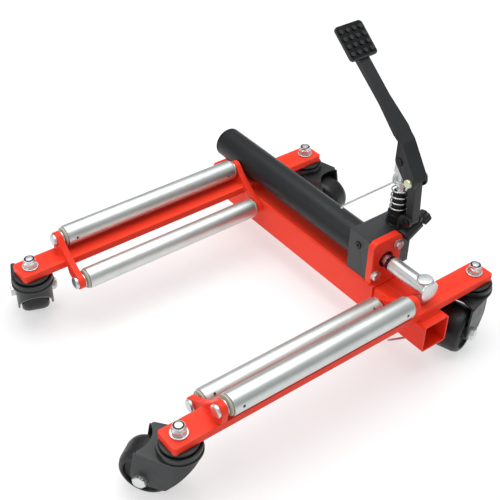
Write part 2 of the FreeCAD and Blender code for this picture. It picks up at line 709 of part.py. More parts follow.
def caster_fork(label, arm, end):
    """Pressed fork: a sheet hood wrapped round the kingpin side, a top plate and a race cup."""
    half = d.fork_half_width
    inside = half - d.fork_sheet
    hood = pad(
        label + "_hood", "XY_Plane",
        [[(0, 0, half), (d.fork_back, -half, 0), (d.fork_back, half, 0)]],
        "fork_top - fork_bottom",
    )
    move(hood, (0, 0, "fork_bottom"))
    hollow = pad(
        label + "_hollow", "XY_Plane",
        [[(0, 0, inside), (LONG_VALUE, -inside, 0), (LONG_VALUE, inside, 0)]],
        "fork_top - fork_bottom",
    )
    move(hollow, (0, 0, "fork_bottom"))
    side_view = pad(
        label + "_side_view", "XZ_Plane",
        [rounded([
            (d.fork_low_front, d.fork_bottom, d.fork_nose_rounding),
            (d.fork_low_back, d.fork_bottom, d.fork_low_rounding),
            (d.fork_heel, d.fork_heel_z, d.fork_heel_rounding),
            (d.fork_shoulder, d.fork_top + d.fork_sheet, 0),
            (-d.fork_nose, d.fork_top + d.fork_sheet, 0),
            (-d.fork_nose_low, d.fork_nose_z, d.fork_nose_rounding),
        ])],
        "2 * fork_half_width + 2",
    )
    move(side_view, (0, "-fork_half_width - 1", 0))
    sheet_metal = common(
        label + "_sheet", [cut(label + "_open_hood", hood, [hollow]), side_view],
    )
    corner_x = d.head_plate_back - d.head_plate_corner
    corner_y = half + d.head_plate_overhang - d.head_plate_corner
    top_plate = pad(
        label + "_top_plate", "XY_Plane",
        [[
            (0, 0, d.head_plate_radius), (corner_x, -corner_y, d.head_plate_corner),
            (corner_x, corner_y, d.head_plate_corner),
        ]],
        "fork_sheet",
    )
    move(top_plate, (0, 0, "fork_top"))
    cup = cylinder(
        label + "_cup", "cup_radius", "cup_top - fork_top - fork_sheet",
        (0, 0, "fork_top + fork_sheet"),
    )
    cup_recess = cylinder(
        label + "_cup_recess", "cup_radius - fork_sheet", "cup_top - fork_top",
        (0, 0, "fork_top + 2 * fork_sheet"),
    )
    kingpin_bore = cylinder(
        label + "_kingpin_bore", "kingpin_radius + kingpin_gap", "cup_top", (0, 0, 0),
    )
    axle_bore = cylinder(
        label + "_axle_bore", "kingpin_radius", "2 * fork_half_width",
        ("caster_trail", "-fork_half_width", "wheel_radius"), "y",
    )
    notch = cylinder(
        label + "_notch", "notch_radius", "fork_sheet", ("notch_centre", 0, "fork_top"),
    )
    fork = cut(
        label, fuse(label + "_solid", [sheet_metal, top_plate, cup]),
        [cup_recess, kingpin_bore, axle_bore, notch],
    )
    fork.Placement = caster_place(arm, end)
    return kept(fork, label)


def caster_wheel(label, arm, end):
    tread, hub, web = d.wheel_half_width, d.hub_half_width, d.recess_half_width
    bore = d.kingpin_radius + d.wheel_gap
    edge, fillet = d.wheel_edge, d.wheel_fillet
    half = [
        (hub, bore), (hub, d.hub_radius - edge, edge), (web, d.hub_radius + edge, fillet),
        (web, d.rim_radius - edge, fillet), (tread, d.rim_radius + edge, edge),
        (tread, d.wheel_radius, d.tread_rounding),
    ]
    profile = half + [(-corner[0], *corner[1:]) for corner in reversed(half)]
    wheel = revolve(label, "YZ_Plane", profile, "H_Axis")
    wheel.Placement = caster_place(arm, end, d.caster_trail, d.wheel_radius)
    return kept(wheel, label)


def caster_axle(label, arm, end):
    """The wheel bolt with its lock nut."""
    back = "-fork_half_width - axle_nut - axle_end"
    head = hexagon(
        label + "_head", "axle_flats", "axle_bolt_head",
        ("caster_trail", "fork_half_width", "wheel_radius"), "y",
    )
    shank = cylinder(
        label + "_shank", "kingpin_radius", "2 * fork_half_width + axle_nut + axle_end",
        ("caster_trail", back, "wheel_radius"), "y",
    )
    nut_solid = hexagon(
        label + "_nut_solid", "axle_flats", "axle_nut",
        ("caster_trail", "-fork_half_width - axle_nut", "wheel_radius"), "y",
    )
    nut = cut(label + "_nut", nut_solid, [shank])
    pair = group(label, [fuse(label + "_bolt", [head, shank]), nut])
    pair.Placement = caster_place(arm, end)
    return pair


def kingpin_set(arm, side):
    """Upper races, kingpins, washers and lock nuts of the two casters of an arm."""
    races, pins, nuts = [], [], []
    for end, sign in (("front", -1), ("rear", 1)):
        name = f"{arm}_{end}_kingpin"
        place = [f"{side} * arm_offset", f"{sign} * kingpin_offset"]
        races.append(ring(
            name + "_race", "race_radius", "kingpin_radius",
            "bar_top - bar_thick - race_bottom", (*place, "race_bottom"), "z",
        ))
        head = hexagon(
            name + "_head", "kingpin_flats", "kingpin_head",
            (*place, "fork_top - kingpin_gap - kingpin_head"),
        )
        shank = cylinder(
            name + "_shank", "kingpin_radius", "kingpin_top - fork_top + kingpin_gap",
            (*place, "fork_top - kingpin_gap"),
        )
        pins.append(fuse(name, [head, shank]))
        nuts.append(ring(
            name + "_washer", "kingpin_washer_radius", "kingpin_radius",
            "kingpin_washer_thick", (*place, "bar_top"), "z",
        ))
        seat = "bar_top + kingpin_washer_thick"
        hex_part = hexagon(name + "_nut_hex", "kingpin_flats", "kingpin_nut_hex", (*place, seat))
        collar = cylinder(
            name + "_nut_collar", "kingpin_nut_collar", "kingpin_nut_height", (*place, seat),
        )
        thread = cylinder(
            name + "_nut_thread", "kingpin_radius", "kingpin_nut_height", (*place, seat),
        )
        nuts.append(cut(name + "_nut", fuse(name + "_nut_solid", [hex_part, collar]), [thread]))
    group(arm + "_caster_races", races)
    group(arm + "_kingpins", pins)
    group(arm + "_kingpin_nuts", nuts)


for arm, side in (("left", -1), ("right", 1)):
    kingpin_set(arm, side)
    for end in ("front", "rear"):
        caster_fork(f"{end}_{arm}_caster_fork", arm, end)
        caster_wheel(f"{end}_{arm}_caster_wheel", arm, end)
        caster_axle(f"{end}_{arm}_caster_axle", arm, end)


# ---------------------------------------------------------------- hydraulic cylinder


def cylinder_parts():
    axis = ("tube_axis_y", "tank_axis_z")
    kept(
        ring(
            "tank", "tank_radius", "tank_radius - tank_wall",
            "block_left - tank_left - tank_cap_thick", ("tank_left + tank_cap_thick", *axis), "x",
        ),
        "tank_tube",
    )
    outer, spigot = d.tank_radius, d.tank_radius - d.tank_wall
    cap = revolve(
        "tank_cap", "XZ_Plane",
        [
            (0, 0), (d.tank_cap_thick + d.cap_spigot, 0), (d.tank_cap_thick + d.cap_spigot, spigot),
            (d.tank_cap_thick, spigot), (d.tank_cap_thick, outer), (0, outer, d.cap_rounding),
        ],
        "H_Axis",
    )
    move(cap, ("tank_left", *axis))
    kept(cap, "tank_end_cap")
    tube_start = "tank_left + tank_cap_thick + cap_spigot"
    kept(
        ring(
            "pressure", "pressure_radius", "pressure_bore",
            "block_left - tank_left - tank_cap_thick - cap_spigot", (tube_start, *axis), "x",
        ),
        "pressure_tube",
    )
    kept(
        ring(
            "piston", "pressure_bore - piston_gap", "ram_radius", "piston_length",
            ("piston_left", *axis), "x",
        ),
        "ram_piston",
    )
    rod = cylinder(
        "ram_rod", "ram_radius", "ram_right - piston_left", ("piston_left", *axis), "x",
    )
    kept(rod, "ram_rod")
    kept(
        ring(
            "lock_ring", "lock_ring_radius", "ram_radius", "lock_ring_length",
            ("lock_ring_left", *axis), "x",
        ),
        "ram_lock_ring",
    )
    kept(
        ring(
            "gland", "bracket_bore", "ram_radius + ram_gap", "bracket_thick - gland_recess",
            ("block_right", *axis), "x",
        ),
        "gland_ring",
    )


def ram_sleeve():
    """Sleeve on the end of the ram, with an end flange and the hole for the pin."""
    axis = ("tube_axis_y", "tank_axis_z")
    body = cylinder(
        "sleeve_body", "sleeve_radius", "sleeve_right - sleeve_left", ("sleeve_left", *axis), "x",
    )
    flange = cylinder(
        "sleeve_flange", "sleeve_flange_radius", "sleeve_flange_thick",
        ("sleeve_right - sleeve_flange_thick", *axis), "x",
    )
    socket = cylinder(
        "sleeve_socket", "ram_radius", "ram_right - sleeve_left", ("sleeve_left", *axis), "x",
    )
    cross = cylinder(
        "sleeve_cross", "ram_pin_radius", "tank_axis_z + bar_top",
        ("arm_offset", "tube_axis_y", 0),
    )
    head_seat = box(
        "sleeve_head_seat", "2 * sleeve_flange_radius", "2 * sleeve_flange_radius",
        "sleeve_flange_radius",
        (
            "sleeve_right - sleeve_flange_radius", "tube_axis_y - sleeve_flange_radius",
            "tank_axis_z + sleeve_radius + head_lift",
        ),
    )
    solid = fuse("sleeve_solid", [body, cut("sleeve_flat_flange", flange, [head_seat])])
    kept(cut("sleeve", solid, [socket, cross]), "ram_sleeve")


def ram_pin():
    """Headed pin through sleeve, arm and tube, with a collar that carries the sleeve."""
    place = ("arm_offset", "tube_axis_y")
    shank = cylinder(
        "ram_pin_shank", "ram_pin_radius", "ram_pin_top - ram_pin_bottom",
        (*place, "ram_pin_bottom"),
    )
    head = cylinder(
        "ram_pin_head", "ram_pin_head_radius",
        "ram_pin_top - tank_axis_z - sleeve_radius - head_lift",
        (*place, "tank_axis_z + sleeve_radius + head_lift"),
    )
    collar = cylinder(
        "ram_pin_collar_solid", "ram_pin_collar", "tank_axis_z - sleeve_radius - bar_top",
        (*place, "bar_top"),
    )
    heading = math.radians(d.clip_direction)
    along = FreeCAD.Vector(math.cos(heading), math.sin(heading), 0)
    cross = cylinder(
        "clip_bore", "clip_wire + 0.1", "4 * ram_pin_radius",
        (
            "arm_offset - 2 * ram_pin_radius * cos(clip_direction)",
            "tube_axis_y - 2 * ram_pin_radius * sin(clip_direction)",
            "clip_height",
        ),
        FreeCAD.Rotation(FreeCAD.Vector(0, 0, 1), along),
    )
    kept(cut("ram_pin_drilled", fuse("ram_pin_solid", [shank, head, collar]), [cross]), "ram_pin")


def pin_clip():
    """Spring clip: a straight leg through the pin, a half-round loop and an outer leg."""
    leg = cylinder(
        "clip_leg", "clip_wire", "clip_tip + clip_reach", ("-clip_tip", 0, 0), "x",
    )
    bend = document.addObject("Part::Torus", "clip_bend")
    bind(bend, "Radius1", "clip_loop")
    bind(bend, "Radius2", "clip_wire")
    bend.Angle3 = 180
    move(
        bend, ("clip_reach", "clip_loop", 0), FreeCAD.Rotation(FreeCAD.Vector(0, 0, 1), -90),
    )
    outer_leg = cylinder(
        "clip_outer_leg", "clip_wire", "clip_reach + clip_loop",
        ("-clip_loop", "2 * clip_loop", 0), "x",
    )
    clip = fuse("clip_solid", [leg, bend, outer_leg])
    clip.Placement = FreeCAD.Placement(
        FreeCAD.Vector(d.arm_offset, d.tube_axis_y, d.clip_height),
        FreeCAD.Rotation(d.clip_direction, 0, d.clip_roll),
    )
    kept(clip, "ram_pin_clip")


# ---------------------------------------------------------------- pump block and bracket


def direction_rotation(direction):
    return FreeCAD.Rotation(FreeCAD.Vector(0, 0, 1), FreeCAD.Vector(*direction))


VALVE_AXIS = (0, math.cos(math.radians(d.valve_tilt)), math.sin(math.radians(d.valve_tilt)))


def along_valve(distance):
    """Formulas of a point on the valve axis."""
    return (
        "valve_x",
        f"valve_y + ({distance}) * cos(valve_tilt)",
        f"valve_z + ({distance}) * sin(valve_tilt)",
    )


def valve_cylinder(name, radius, length, distance):
    return cylinder(name, radius, length, along_valve(distance), direction_rotation(VALVE_AXIS))


def bolt_centres():
    """Two bolts on a diagonal through the ram's centre line."""
    return [
        (f"tube_axis_y + {sign} * bolt_offset", f"tank_axis_z + {sign} * bolt_offset")
        for sign in (-1, 1)
    ]


def pump_block():
    block = box(
        "block_solid", "block_right - block_left", "block_back - block_front",
        "block_top - block_bottom", ("block_left", "block_front", "block_bottom"),
    )
    boss = valve_cylinder("valve_boss", "valve_radius", "valve_length", 0)
    lug = box(
        "valve_lug", "valve_x - block_right", "2 * valve_radius", "valve_lug_length",
        (
            "block_right", "valve_y - valve_radius * sin(valve_tilt)",
            "valve_z + valve_radius * cos(valve_tilt)",
        ),
        direction_rotation(VALVE_AXIS),
    )
    tools = [
        cylinder(
            "ram_bore", "ram_radius + ram_gap", LONG,
            ("block_left - 1", "tube_axis_y", "tank_axis_z"), "x",
        ),
        cylinder(
            "plunger_bore", "plunger_radius + plunger_gap", LONG,
            ("pump_axis_x", "pump_axis_y", "plunger_bottom - stroke_room"),
        ),
        cylinder(
            "plug_bore", "plug_radius", "plug_length",
            ("plug_x", "block_front - plug_proud", "plug_z"), "y",
        ),
        cylinder("barrel_seat", "barrel_lip", LONG, ("pump_axis_x", "pump_axis_y", "block_top")),
        valve_cylinder("stem_bore", "stem_radius + hinge_gap", LONG, "valve_length / 3"),
    ]
    for index, (y, z) in enumerate(bolt_centres()):
        tools.append(cylinder(
            f"bolt_thread_{index}", "bracket_bolt_radius", LONG,
            ("block_right - thread_depth", y, z), "x",
        ))
    kept(cut("block_drilled", fuse("block_with_boss", [block, lug, boss]), tools), "pump_block")

    plug_place = ("plug_x", "block_front - plug_proud", "plug_z")
    plug = cylinder("plug_solid", "plug_radius", "plug_length", plug_place, "y")
    socket = hexagon("plug_socket", "plug_flats", "plug_socket_depth", plug_place, "y")
    kept(cut("plug", plug, [socket]), "block_plug")


def ram_bracket():
    """Upright plate on the beam that takes the pull of the ram, with its two bolts."""
    corners = rounded([
        (d.bracket_front, d.block_bottom), (d.bracket_back, d.block_bottom),
        (d.bracket_back, d.bracket_top, d.bracket_corner),
        (d.bracket_front, d.bracket_top, d.bracket_corner),
    ])
    holes = [(d.tube_axis_y, d.tank_axis_z, "bracket_bore")]
    for sign in (-1, 1):
        place = (d.tube_axis_y + sign * d.bolt_offset, d.tank_axis_z + sign * d.bolt_offset)
        holes.append((*place, "bracket_bolt_radius"))
    plate = pad("bracket", "YZ_Plane", [corners], "bracket_thick", holes)
    move(plate, ("block_right", 0, 0))
    kept(plate, "ram_bracket_plate")

    items = []
    face = "block_right + bracket_thick"
    for index, (y, z) in enumerate(bolt_centres()):
        name = f"bracket_bolt_{index}"
        items.append(ring(
            name + "_washer", "bracket_washer_radius", "bracket_bolt_radius",
            "bracket_washer_thick", (face, y, z), "x",
        ))
        head = hexagon(
            name + "_head", "bracket_bolt_flats", "bracket_bolt_head",
            (face + " + bracket_washer_thick", y, z), "x",
        )
        shank = cylinder(
            name + "_shank", "bracket_bolt_radius",
            "thread_depth + bracket_thick + bracket_washer_thick",
            ("block_right - thread_depth", y, z), "x",
        )
        items.append(fuse(name, [head, shank]))
    group("bracket_bolts", items)


# ---------------------------------------------------------------- foot pump


def pump_barrel():
    place = ("pump_axis_x", "pump_axis_y")
    barrel = cylinder("barrel", "barrel_radius", "barrel_top - block_top", (*place, "block_top"))
    lip = cylinder("barrel_lip_ring", "barrel_lip", "3", (*place, "block_top"))
    guide = cylinder("guide", "guide_radius", "guide_top - block_top", (*place, "block_top"))
    bore = cylinder("barrel_bore", "plunger_radius + plunger_gap", LONG, (*place, "block_top - 1"))
    kept(cut("barrel_bored", fuse("barrel_solid", [barrel, lip, guide]), [bore]), "pump_barrel")


def pump_plunger():
    """Rod, spring cap, neck and a flat head that takes the pedal pin."""
    place = ("pump_axis_x", "pump_axis_y")
    rod = cylinder(
        "plunger_rod", "plunger_radius", "cap_bottom - plunger_bottom", (*place, "plunger_bottom"),
    )
    cap = cylinder("plunger_cap", "cap_radius", "cap_thick", (*place, "cap_bottom"))
    neck = cylinder(
        "plunger_neck", "neck_radius", "head_bottom - cap_bottom + head_corner",
        (*place, "cap_bottom"),
    )
    flat = d.head_half_width - d.head_corner
    head = pad(
        "plunger_head", "XZ_Plane",
        [[
            (d.pump_axis_x - flat, d.head_bottom + d.head_corner, d.head_corner),
            (d.pump_axis_x + flat, d.head_bottom + d.head_corner, d.head_corner),
            (d.pump_axis_x, d.plunger_pin_z, d.head_top_radius),
        ]],
        "head_depth",
    )
    move(head, (0, "pump_axis_y - head_depth / 2", 0))
    pin_hole = cylinder(
        "plunger_pin_hole", "hinge_radius + open_pivot_gap", "2 * head_depth",
        ("pump_axis_x", "pump_axis_y - head_depth", "plunger_pin_z"), "y",
    )
    kept(
        cut("plunger_drilled", fuse("plunger_solid", [rod, cap, neck, head]), [pin_hole]),
        "pump_plunger",
    )


def return_spring():
    """Open coil between the barrel's shoulder and the plunger's cap."""
    rise = "cap_bottom - barrel_top - 2 * spring_wire"
    helix = document.addObject("Part::Helix", "spring_path")
    bind(helix, "Radius", "spring_radius")
    bind(helix, "Height", rise)
    bind(helix, "Pitch", f"({rise}) / spring_turns")
    section = document.addObject("Part::Circle", "spring_section")
    bind(section, "Radius", "spring_wire")
    section.Placement = FreeCAD.Placement(
        FreeCAD.Vector(d.spring_radius, 0, 0),
        FreeCAD.Rotation(FreeCAD.Vector(1, 0, 0), 90),
    )
    sweep = document.addObject("Part::Sweep", "spring_coil")
    sweep.Sections = [section]
    sweep.Spine = (helix, [])
    sweep.Solid = True
    sweep.Frenet = True
    move(sweep, ("pump_axis_x", "pump_axis_y", "barrel_top + spring_wire"))
    kept(sweep, "return_spring")


def link_bracket():
    """Foot on the block's side with two ears and the pin of the rocking link."""
    side = "link_depth / 2 + ear_gap + ear_thick"
    ears = pad(
        "bracket_ears", "XZ_Plane",
        [[
            (d.block_right, d.link_foot_z - d.ear_drop, 0),
            (d.link_foot_x, d.link_foot_z, d.ear_radius),
            (d.block_right, d.link_foot_z + d.ear_rise, 0),
        ]],
        f"2 * ({side})",
    )
    move(ears, (0, f"pump_axis_y - ({side})", 0))
    gap = box(
        "bracket_gap", LONG, "link_depth + 2 * ear_gap", LONG,
        (
            "link_foot_x - ear_radius - ear_gap", "pump_axis_y - link_depth / 2 - ear_gap",
            f"link_foot_z - {LONG} / 2",
        ),
    )
    foot = box(
        "bracket_foot", "bracket_foot_length", f"2 * ({side})", "bracket_foot_height",
        ("block_right - bracket_foot_length", f"pump_axis_y - ({side})", "block_top"),
    )
    barrel_room = cylinder(
        "bracket_barrel_room", "barrel_lip", LONG, ("pump_axis_x", "pump_axis_y", "block_top"),
    )
    pin_hole = cylinder(
        "bracket_pin_hole", "hinge_radius", LONG,
        ("link_foot_x", f"pump_axis_y - {LONG} / 2", "link_foot_z"), "y",
    )
    kept(
        cut("bracket_open", fuse("bracket_ear_solid", [ears, foot]), [gap, barrel_room, pin_hole]),
        "link_bracket",
    )
    pin = cylinder(
        "link_pin_shank", "hinge_radius", f"2 * ({side} + hinge_end)",
        ("link_foot_x", f"pump_axis_y - ({side} + hinge_end)", "link_foot_z"), "y",
    )
    head = cylinder(
        "link_pin_head", "hinge_head_radius", "hinge_head_thick",
        ("link_foot_x", f"pump_axis_y - ({side} + hinge_head_thick)", "link_foot_z"), "y",
    )
    kept(fuse("link_pin_solid", [pin, head]), "link_pin")


def rocking_link():
    half = d.link_half_width
    bores = [
        (d.link_foot_x, d.link_foot_z, "hinge_radius + hinge_gap"),
        (d.fulcrum_x, d.fulcrum_z, "hinge_radius + hinge_gap"),
    ]
    link = pad(
        "link", "XZ_Plane",
        [[(d.link_foot_x, d.link_foot_z, half), (d.fulcrum_x, d.fulcrum_z, half)]],
        "link_depth", bores,
    )
    move(link, (0, "pump_axis_y - link_depth / 2", 0))
    kept(link, "rocking_link")


def pedal_outline(thinner):
    """Side view of the pedal lever; thinner is how far the sheet's outer line is drawn in."""
    return [
        (d.fulcrum_x, d.fulcrum_z, d.lever_end_radius - thinner),
        (d.bend_x, d.bend_z, d.bend_radius - thinner),
        (d.arm_end_x, d.arm_end_z, d.arm_end_radius - thinner),
    ]


def pedal_lever():
    """Pressed channel: web on the outside, cheeks round the plunger head and the link."""
    centre = "pump_axis_y"
    pin = (d.pump_axis_x, d.plunger_pin_z, d.lever_lobe_radius)
    crown = (d.lever_crown_x, d.lever_crown_z, 0)
    solid = pad(
        "lever_solid", "XZ_Plane",
        [[pin, *pedal_outline(0), crown]],
        "2 * bend_half_width",
    )
    move(solid, (0, f"{centre} - bend_half_width", 0))
    widths = [
        (-LONG_VALUE, d.arm_half_width), (d.taper_start_x, d.arm_half_width),
        (d.taper_end_x, d.bend_half_width), (d.cheek_start_x, d.channel_half_width),
        (LONG_VALUE, d.channel_half_width),
    ]
    plan = pad(
        "lever_plan", "XY_Plane",
        [[(x, -y, 0) for x, y in widths] + [(x, y, 0) for x, y in reversed(widths)]],
        LONG,
    )
    move(plan, (0, centre, 0))
    angle = math.radians(d.web_angle)
    inside = d.lever_end_radius - d.channel_wall
    web_end = (
        d.fulcrum_x + inside * math.cos(angle), d.fulcrum_z + inside * math.sin(angle), 0,
    )
    inner = pad(
        "lever_inner", "XZ_Plane",
        [[
            (d.channel_open_x, d.barrel_top, 0), (d.web_cut_x, d.barrel_top, 0),
            (d.web_cut_x, d.web_cut_z, 0), web_end, *pedal_outline(d.channel_wall)[1:],
            (d.channel_open_x, d.channel_open_z, 0),
        ]],
        "2 * channel_half_width - 2 * channel_wall",
    )
    move(inner, (0, f"{centre} - channel_half_width + channel_wall", 0))
    drills = [
        cylinder(f"lever_{name}_hole", "hinge_radius", LONG, (x, f"{centre} - {LONG} / 2", z), "y")
        for name, x, z in (
            ("pin", "pump_axis_x", "plunger_pin_z"), ("fulcrum", "fulcrum_x", "fulcrum_z"),
        )
    ]
    kept(cut("lever_open", common("lever_trim", [solid, plan]), [inner, *drills]), "pedal_lever")


def pad_place():
    turn = FreeCAD.Rotation(FreeCAD.Vector(0, 1, 0), d.pad_slope)
    return FreeCAD.Placement(FreeCAD.Vector(d.pad_top_x, d.pump_axis_y, d.pad_top_z), turn)


def pedal_pad():
    """Foot pad with rounded corners and rows of studs; its top face is at local z 0."""
    outline = rectangle(d.pad_length / 2, 0, d.pad_length, d.pad_width, d.pad_corner)
    plate = pad("pad_plate", "XY_Plane", [outline], "pad_thick")
    move(plate, (0, 0, "-pad_thick"))
    studs = []
    steps = [number - (STUD_ROWS - 1) / 2 for number in range(STUD_ROWS)]
    for along in steps:
        for across in steps:
            studs.append(cylinder(
                f"stud_{len(studs)}", "stud_radius", "stud_height + stud_root",
                (f"pad_length / 2 + {along} * stud_pitch", f"{across} * stud_pitch", "-stud_root"),
            ))
    whole = fuse("pad_solid", [plate, *studs])
    whole.Placement = pad_place()
    kept(whole, "pedal_pad")


def lever_pins():
    """Fulcrum bolt with its nut, and the pin that pushes the plunger."""
    items = []
    half = "channel_half_width"
    for name, x, z in (
        ("plunger_pin", "pump_axis_x", "plunger_pin_z"), ("fulcrum", "fulcrum_x", "fulcrum_z"),
    ):
        shank = cylinder(
            name + "_shank", "hinge_radius", f"2 * {half} + lever_pin_end",
            (x, f"pump_axis_y - {half}", z), "y",
        )
        if name == "fulcrum":
            head = hexagon(
                name + "_head", "hinge_flats", "hinge_bolt_head",
                (x, f"pump_axis_y - {half} - hinge_bolt_head", z), "y",
            )
            nut = hexagon(
                name + "_nut", "hinge_flats", "hinge_nut", (x, f"pump_axis_y + {half}", z), "y",
            )
            items += [fuse(name + "_bolt", [head, shank]), cut(name + "_nut_cut", nut, [shank])]
        else:
            head = cylinder(
                name + "_head", "hinge_head_radius", "hinge_head_thick",
                (x, f"pump_axis_y - {half} - hinge_head_thick", z), "y",
            )
            items.append(fuse(name + "_solid", [head, shank]))
    group("lever_pins", items)


def release_knob():
    start = "valve_length + knob_gap"
    stem = valve_cylinder(
        "stem", "stem_radius", "valve_length * 2 / 3 + knob_gap", "valve_length / 3",
    )
    grip = valve_cylinder("grip", "knob_radius", "knob_length", start)
    flutes = []
    side = FreeCAD.Vector(1, 0, 0)
    up = FreeCAD.Vector(*VALVE_AXIS).cross(side)
    centre = FreeCAD.Vector(d.valve_x, d.valve_y, d.valve_z)
    foot = centre + FreeCAD.Vector(*VALVE_AXIS) * (d.valve_length + d.knob_gap / 2)
    for index in range(KNOB_FLUTES):
        angle = index * math.tau / KNOB_FLUTES
        offset = (side * math.cos(angle) + up * math.sin(angle)) * d.flute_circle
        flute = document.addObject("Part::Cylinder", f"flute_{index}")
        bind(flute, "Radius", "flute_radius")
        bind(flute, "Height", "knob_length + knob_gap")
        flute.Placement = FreeCAD.Placement(foot + offset, direction_rotation(VALVE_AXIS))
        flutes.append(flute)
    fluted = cut("grip_fluted", grip, flutes)
    kept(fuse("knob_solid", [fluted, stem]), "release_knob")


def hold_down_hook():
    """Wire hook: an eye round the plunger inside the spring, a straight leg and a bent tip."""
    eye_centre = FreeCAD.Vector(d.pump_axis_x, d.pump_axis_y, d.hook_eye_z)
    end = FreeCAD.Vector(d.hook_end_x, d.hook_end_y, d.hook_end_z)
    flat = FreeCAD.Vector(end.x - eye_centre.x, end.y - eye_centre.y, 0)
    flat.normalize()
    start = eye_centre + flat * d.hook_eye_radius
    eye = document.addObject("Part::Torus", "hook_eye")
    bind(eye, "Radius1", "hook_eye_radius")
    bind(eye, "Radius2", "hook_wire")
    move(eye, ("pump_axis_x", "pump_axis_y", "hook_eye_z"))
    run = end - start
    leg = document.addObject("Part::Cylinder", "hook_leg")
    bind(leg, "Radius", "hook_wire")
    leg.Height = run.Length
    leg.Placement = FreeCAD.Placement(start, FreeCAD.Rotation(FreeCAD.Vector(0, 0, 1), run))
    knee = document.addObject("Part::Sphere", "hook_knee")
    bind(knee, "Radius", "hook_wire")
    knee.Placement = FreeCAD.Placement(end, FreeCAD.Rotation())
    across = FreeCAD.Vector(-flat.y, flat.x, 0)
    tip = document.addObject("Part::Cylinder", "hook_tip_solid")
    bind(tip, "Radius", "hook_wire")
    bind(tip, "Height", "hook_tip")
    tip.Placement = FreeCAD.Placement(end, FreeCAD.Rotation(FreeCAD.Vector(0, 0, 1), across))
    kept(fuse("hook_solid", [eye, leg, knee, tip]), "hold_down_hook")


cylinder_parts()
ram_sleeve()
ram_pin()
pin_clip()
pump_block()
ram_bracket()
pump_barrel()
pump_plunger()
return_spring()
link_bracket()
rocking_link()
pedal_lever()
pedal_pad()
lever_pins()
release_knob()
hold_down_hook()

document.recompute()

for item in document.Objects:
    if "Invalid" in item.State or "Error" in item.State:
        raise RuntimeError(f"{item.Label} did not build: {item.State}")
for item in parts:
    if item.Shape.isNull() or not item.Shape.isValid() or not item.Shape.Solids:
        raise RuntimeError(f"{item.Label} has no valid solid")

middle = FreeCAD.Vector(d.middle_x, d.middle_y, 0)
os.makedirs("parts", exist_ok=True)
for item in parts:
    shape = item.Shape.copy()
    shape.translate(middle)
    shape.exportStep(os.path.join("parts", item.Label + ".step"))
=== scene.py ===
import json
import math

import bmesh
import bpy
from mathutils import Matrix, Vector, noise


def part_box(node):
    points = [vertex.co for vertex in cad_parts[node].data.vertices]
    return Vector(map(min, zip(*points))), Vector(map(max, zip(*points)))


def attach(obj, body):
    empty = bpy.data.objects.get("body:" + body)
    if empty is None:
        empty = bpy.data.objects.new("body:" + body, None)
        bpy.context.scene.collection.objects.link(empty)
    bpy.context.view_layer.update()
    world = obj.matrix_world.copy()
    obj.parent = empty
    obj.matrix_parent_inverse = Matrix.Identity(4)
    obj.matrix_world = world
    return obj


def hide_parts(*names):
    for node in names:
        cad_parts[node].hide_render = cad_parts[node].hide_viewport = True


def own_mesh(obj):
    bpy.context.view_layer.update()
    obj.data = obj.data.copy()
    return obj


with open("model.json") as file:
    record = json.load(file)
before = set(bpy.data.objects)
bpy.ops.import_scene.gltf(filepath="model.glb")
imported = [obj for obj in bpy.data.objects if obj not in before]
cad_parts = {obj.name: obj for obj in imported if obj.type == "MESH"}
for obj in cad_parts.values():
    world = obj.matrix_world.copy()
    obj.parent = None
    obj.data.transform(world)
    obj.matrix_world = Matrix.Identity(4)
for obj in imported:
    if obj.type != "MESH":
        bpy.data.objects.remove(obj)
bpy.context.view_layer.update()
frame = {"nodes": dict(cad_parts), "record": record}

# Hydraulic wheel dolly jack. Lengths in the modelling calls are millimetres from the middle
# between the kingpins. They become metres in the CAD frame when a mesh is made.

MM = 0.001
SCENE = bpy.context.scene

# The middle between the four kingpins, on the floor, in the CAD frame.
MIDDLE = (Vector(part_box("left_kingpins")[0]) + Vector(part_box("right_kingpins")[1])) / 2 / MM
MIDDLE.z = 0


def rounded(point):
    """The CAD's places are whole tenths here, so this clears its mesh's small errors."""
    return Vector([round(c, 1) for c in point])


def corners(node):
    """Lowest and highest corner of a CAD node."""
    return [rounded(Vector(corner) / MM - MIDDLE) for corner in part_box(node)]


def centre(node):
    """Middle of a CAD node's box."""
    low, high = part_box(node)
    return rounded((Vector(low) + Vector(high)) / 2 / MM - MIDDLE)


# The flat bars of the arms, and the kingpins through their ends.
BAR_CORNER, BAR_FAR_CORNER = corners("right_arm_bar")
ARM_X = (BAR_CORNER.x + BAR_FAR_CORNER.x) / 2
ARM_HALF_WIDTH = (BAR_FAR_CORNER.x - BAR_CORNER.x) / 2
BAR_LOW, BAR_TOP = BAR_CORNER.z, BAR_FAR_CORNER.z
KINGPIN_Y = 272.75

# The beam, with the cylinder above it and the foot pump on the cylinder's block.
BEAM_FRONT_Y, BEAM_REAR_Y = (corner.y for corner in corners("main_beam"))
TUBE_TOP = corners("inner_tube")[1].z
BRACKET_LEFT_X, BRACKET_RIGHT_X = (corner.x for corner in corners("ram_bracket_plate"))
BLOCK_LEFT_X, BLOCK_FRONT_Y, _ = corners("pump_block")[0]
_, AXIS_Y, TANK_Z = centre("tank_tube")
PUMP_X, PUMP_Y, _ = centre("pump_barrel")

# The roller plates, and each row's x and z on the right arm.
PLATE_FRONT_Y = corners("left_front_roller_plate")[0].y
PLATE_THICKNESS = 10
REAR_PLATE_Y = {side: corners(side + "_rear_roller_plate")[0].y for side in ("left", "right")}
ROLLERS = {row: centre(f"right_{row}_roller").xz for row in ("outer", "inner")}
ROLLER_FRONT_Y = corners("right_outer_roller")[0].y
ROLLER_LENGTH = 319

# Which way each arm lies, and the body that it rides on.
SIDES = {"left": (-1, "frame"), "right": (1, "carriage")}

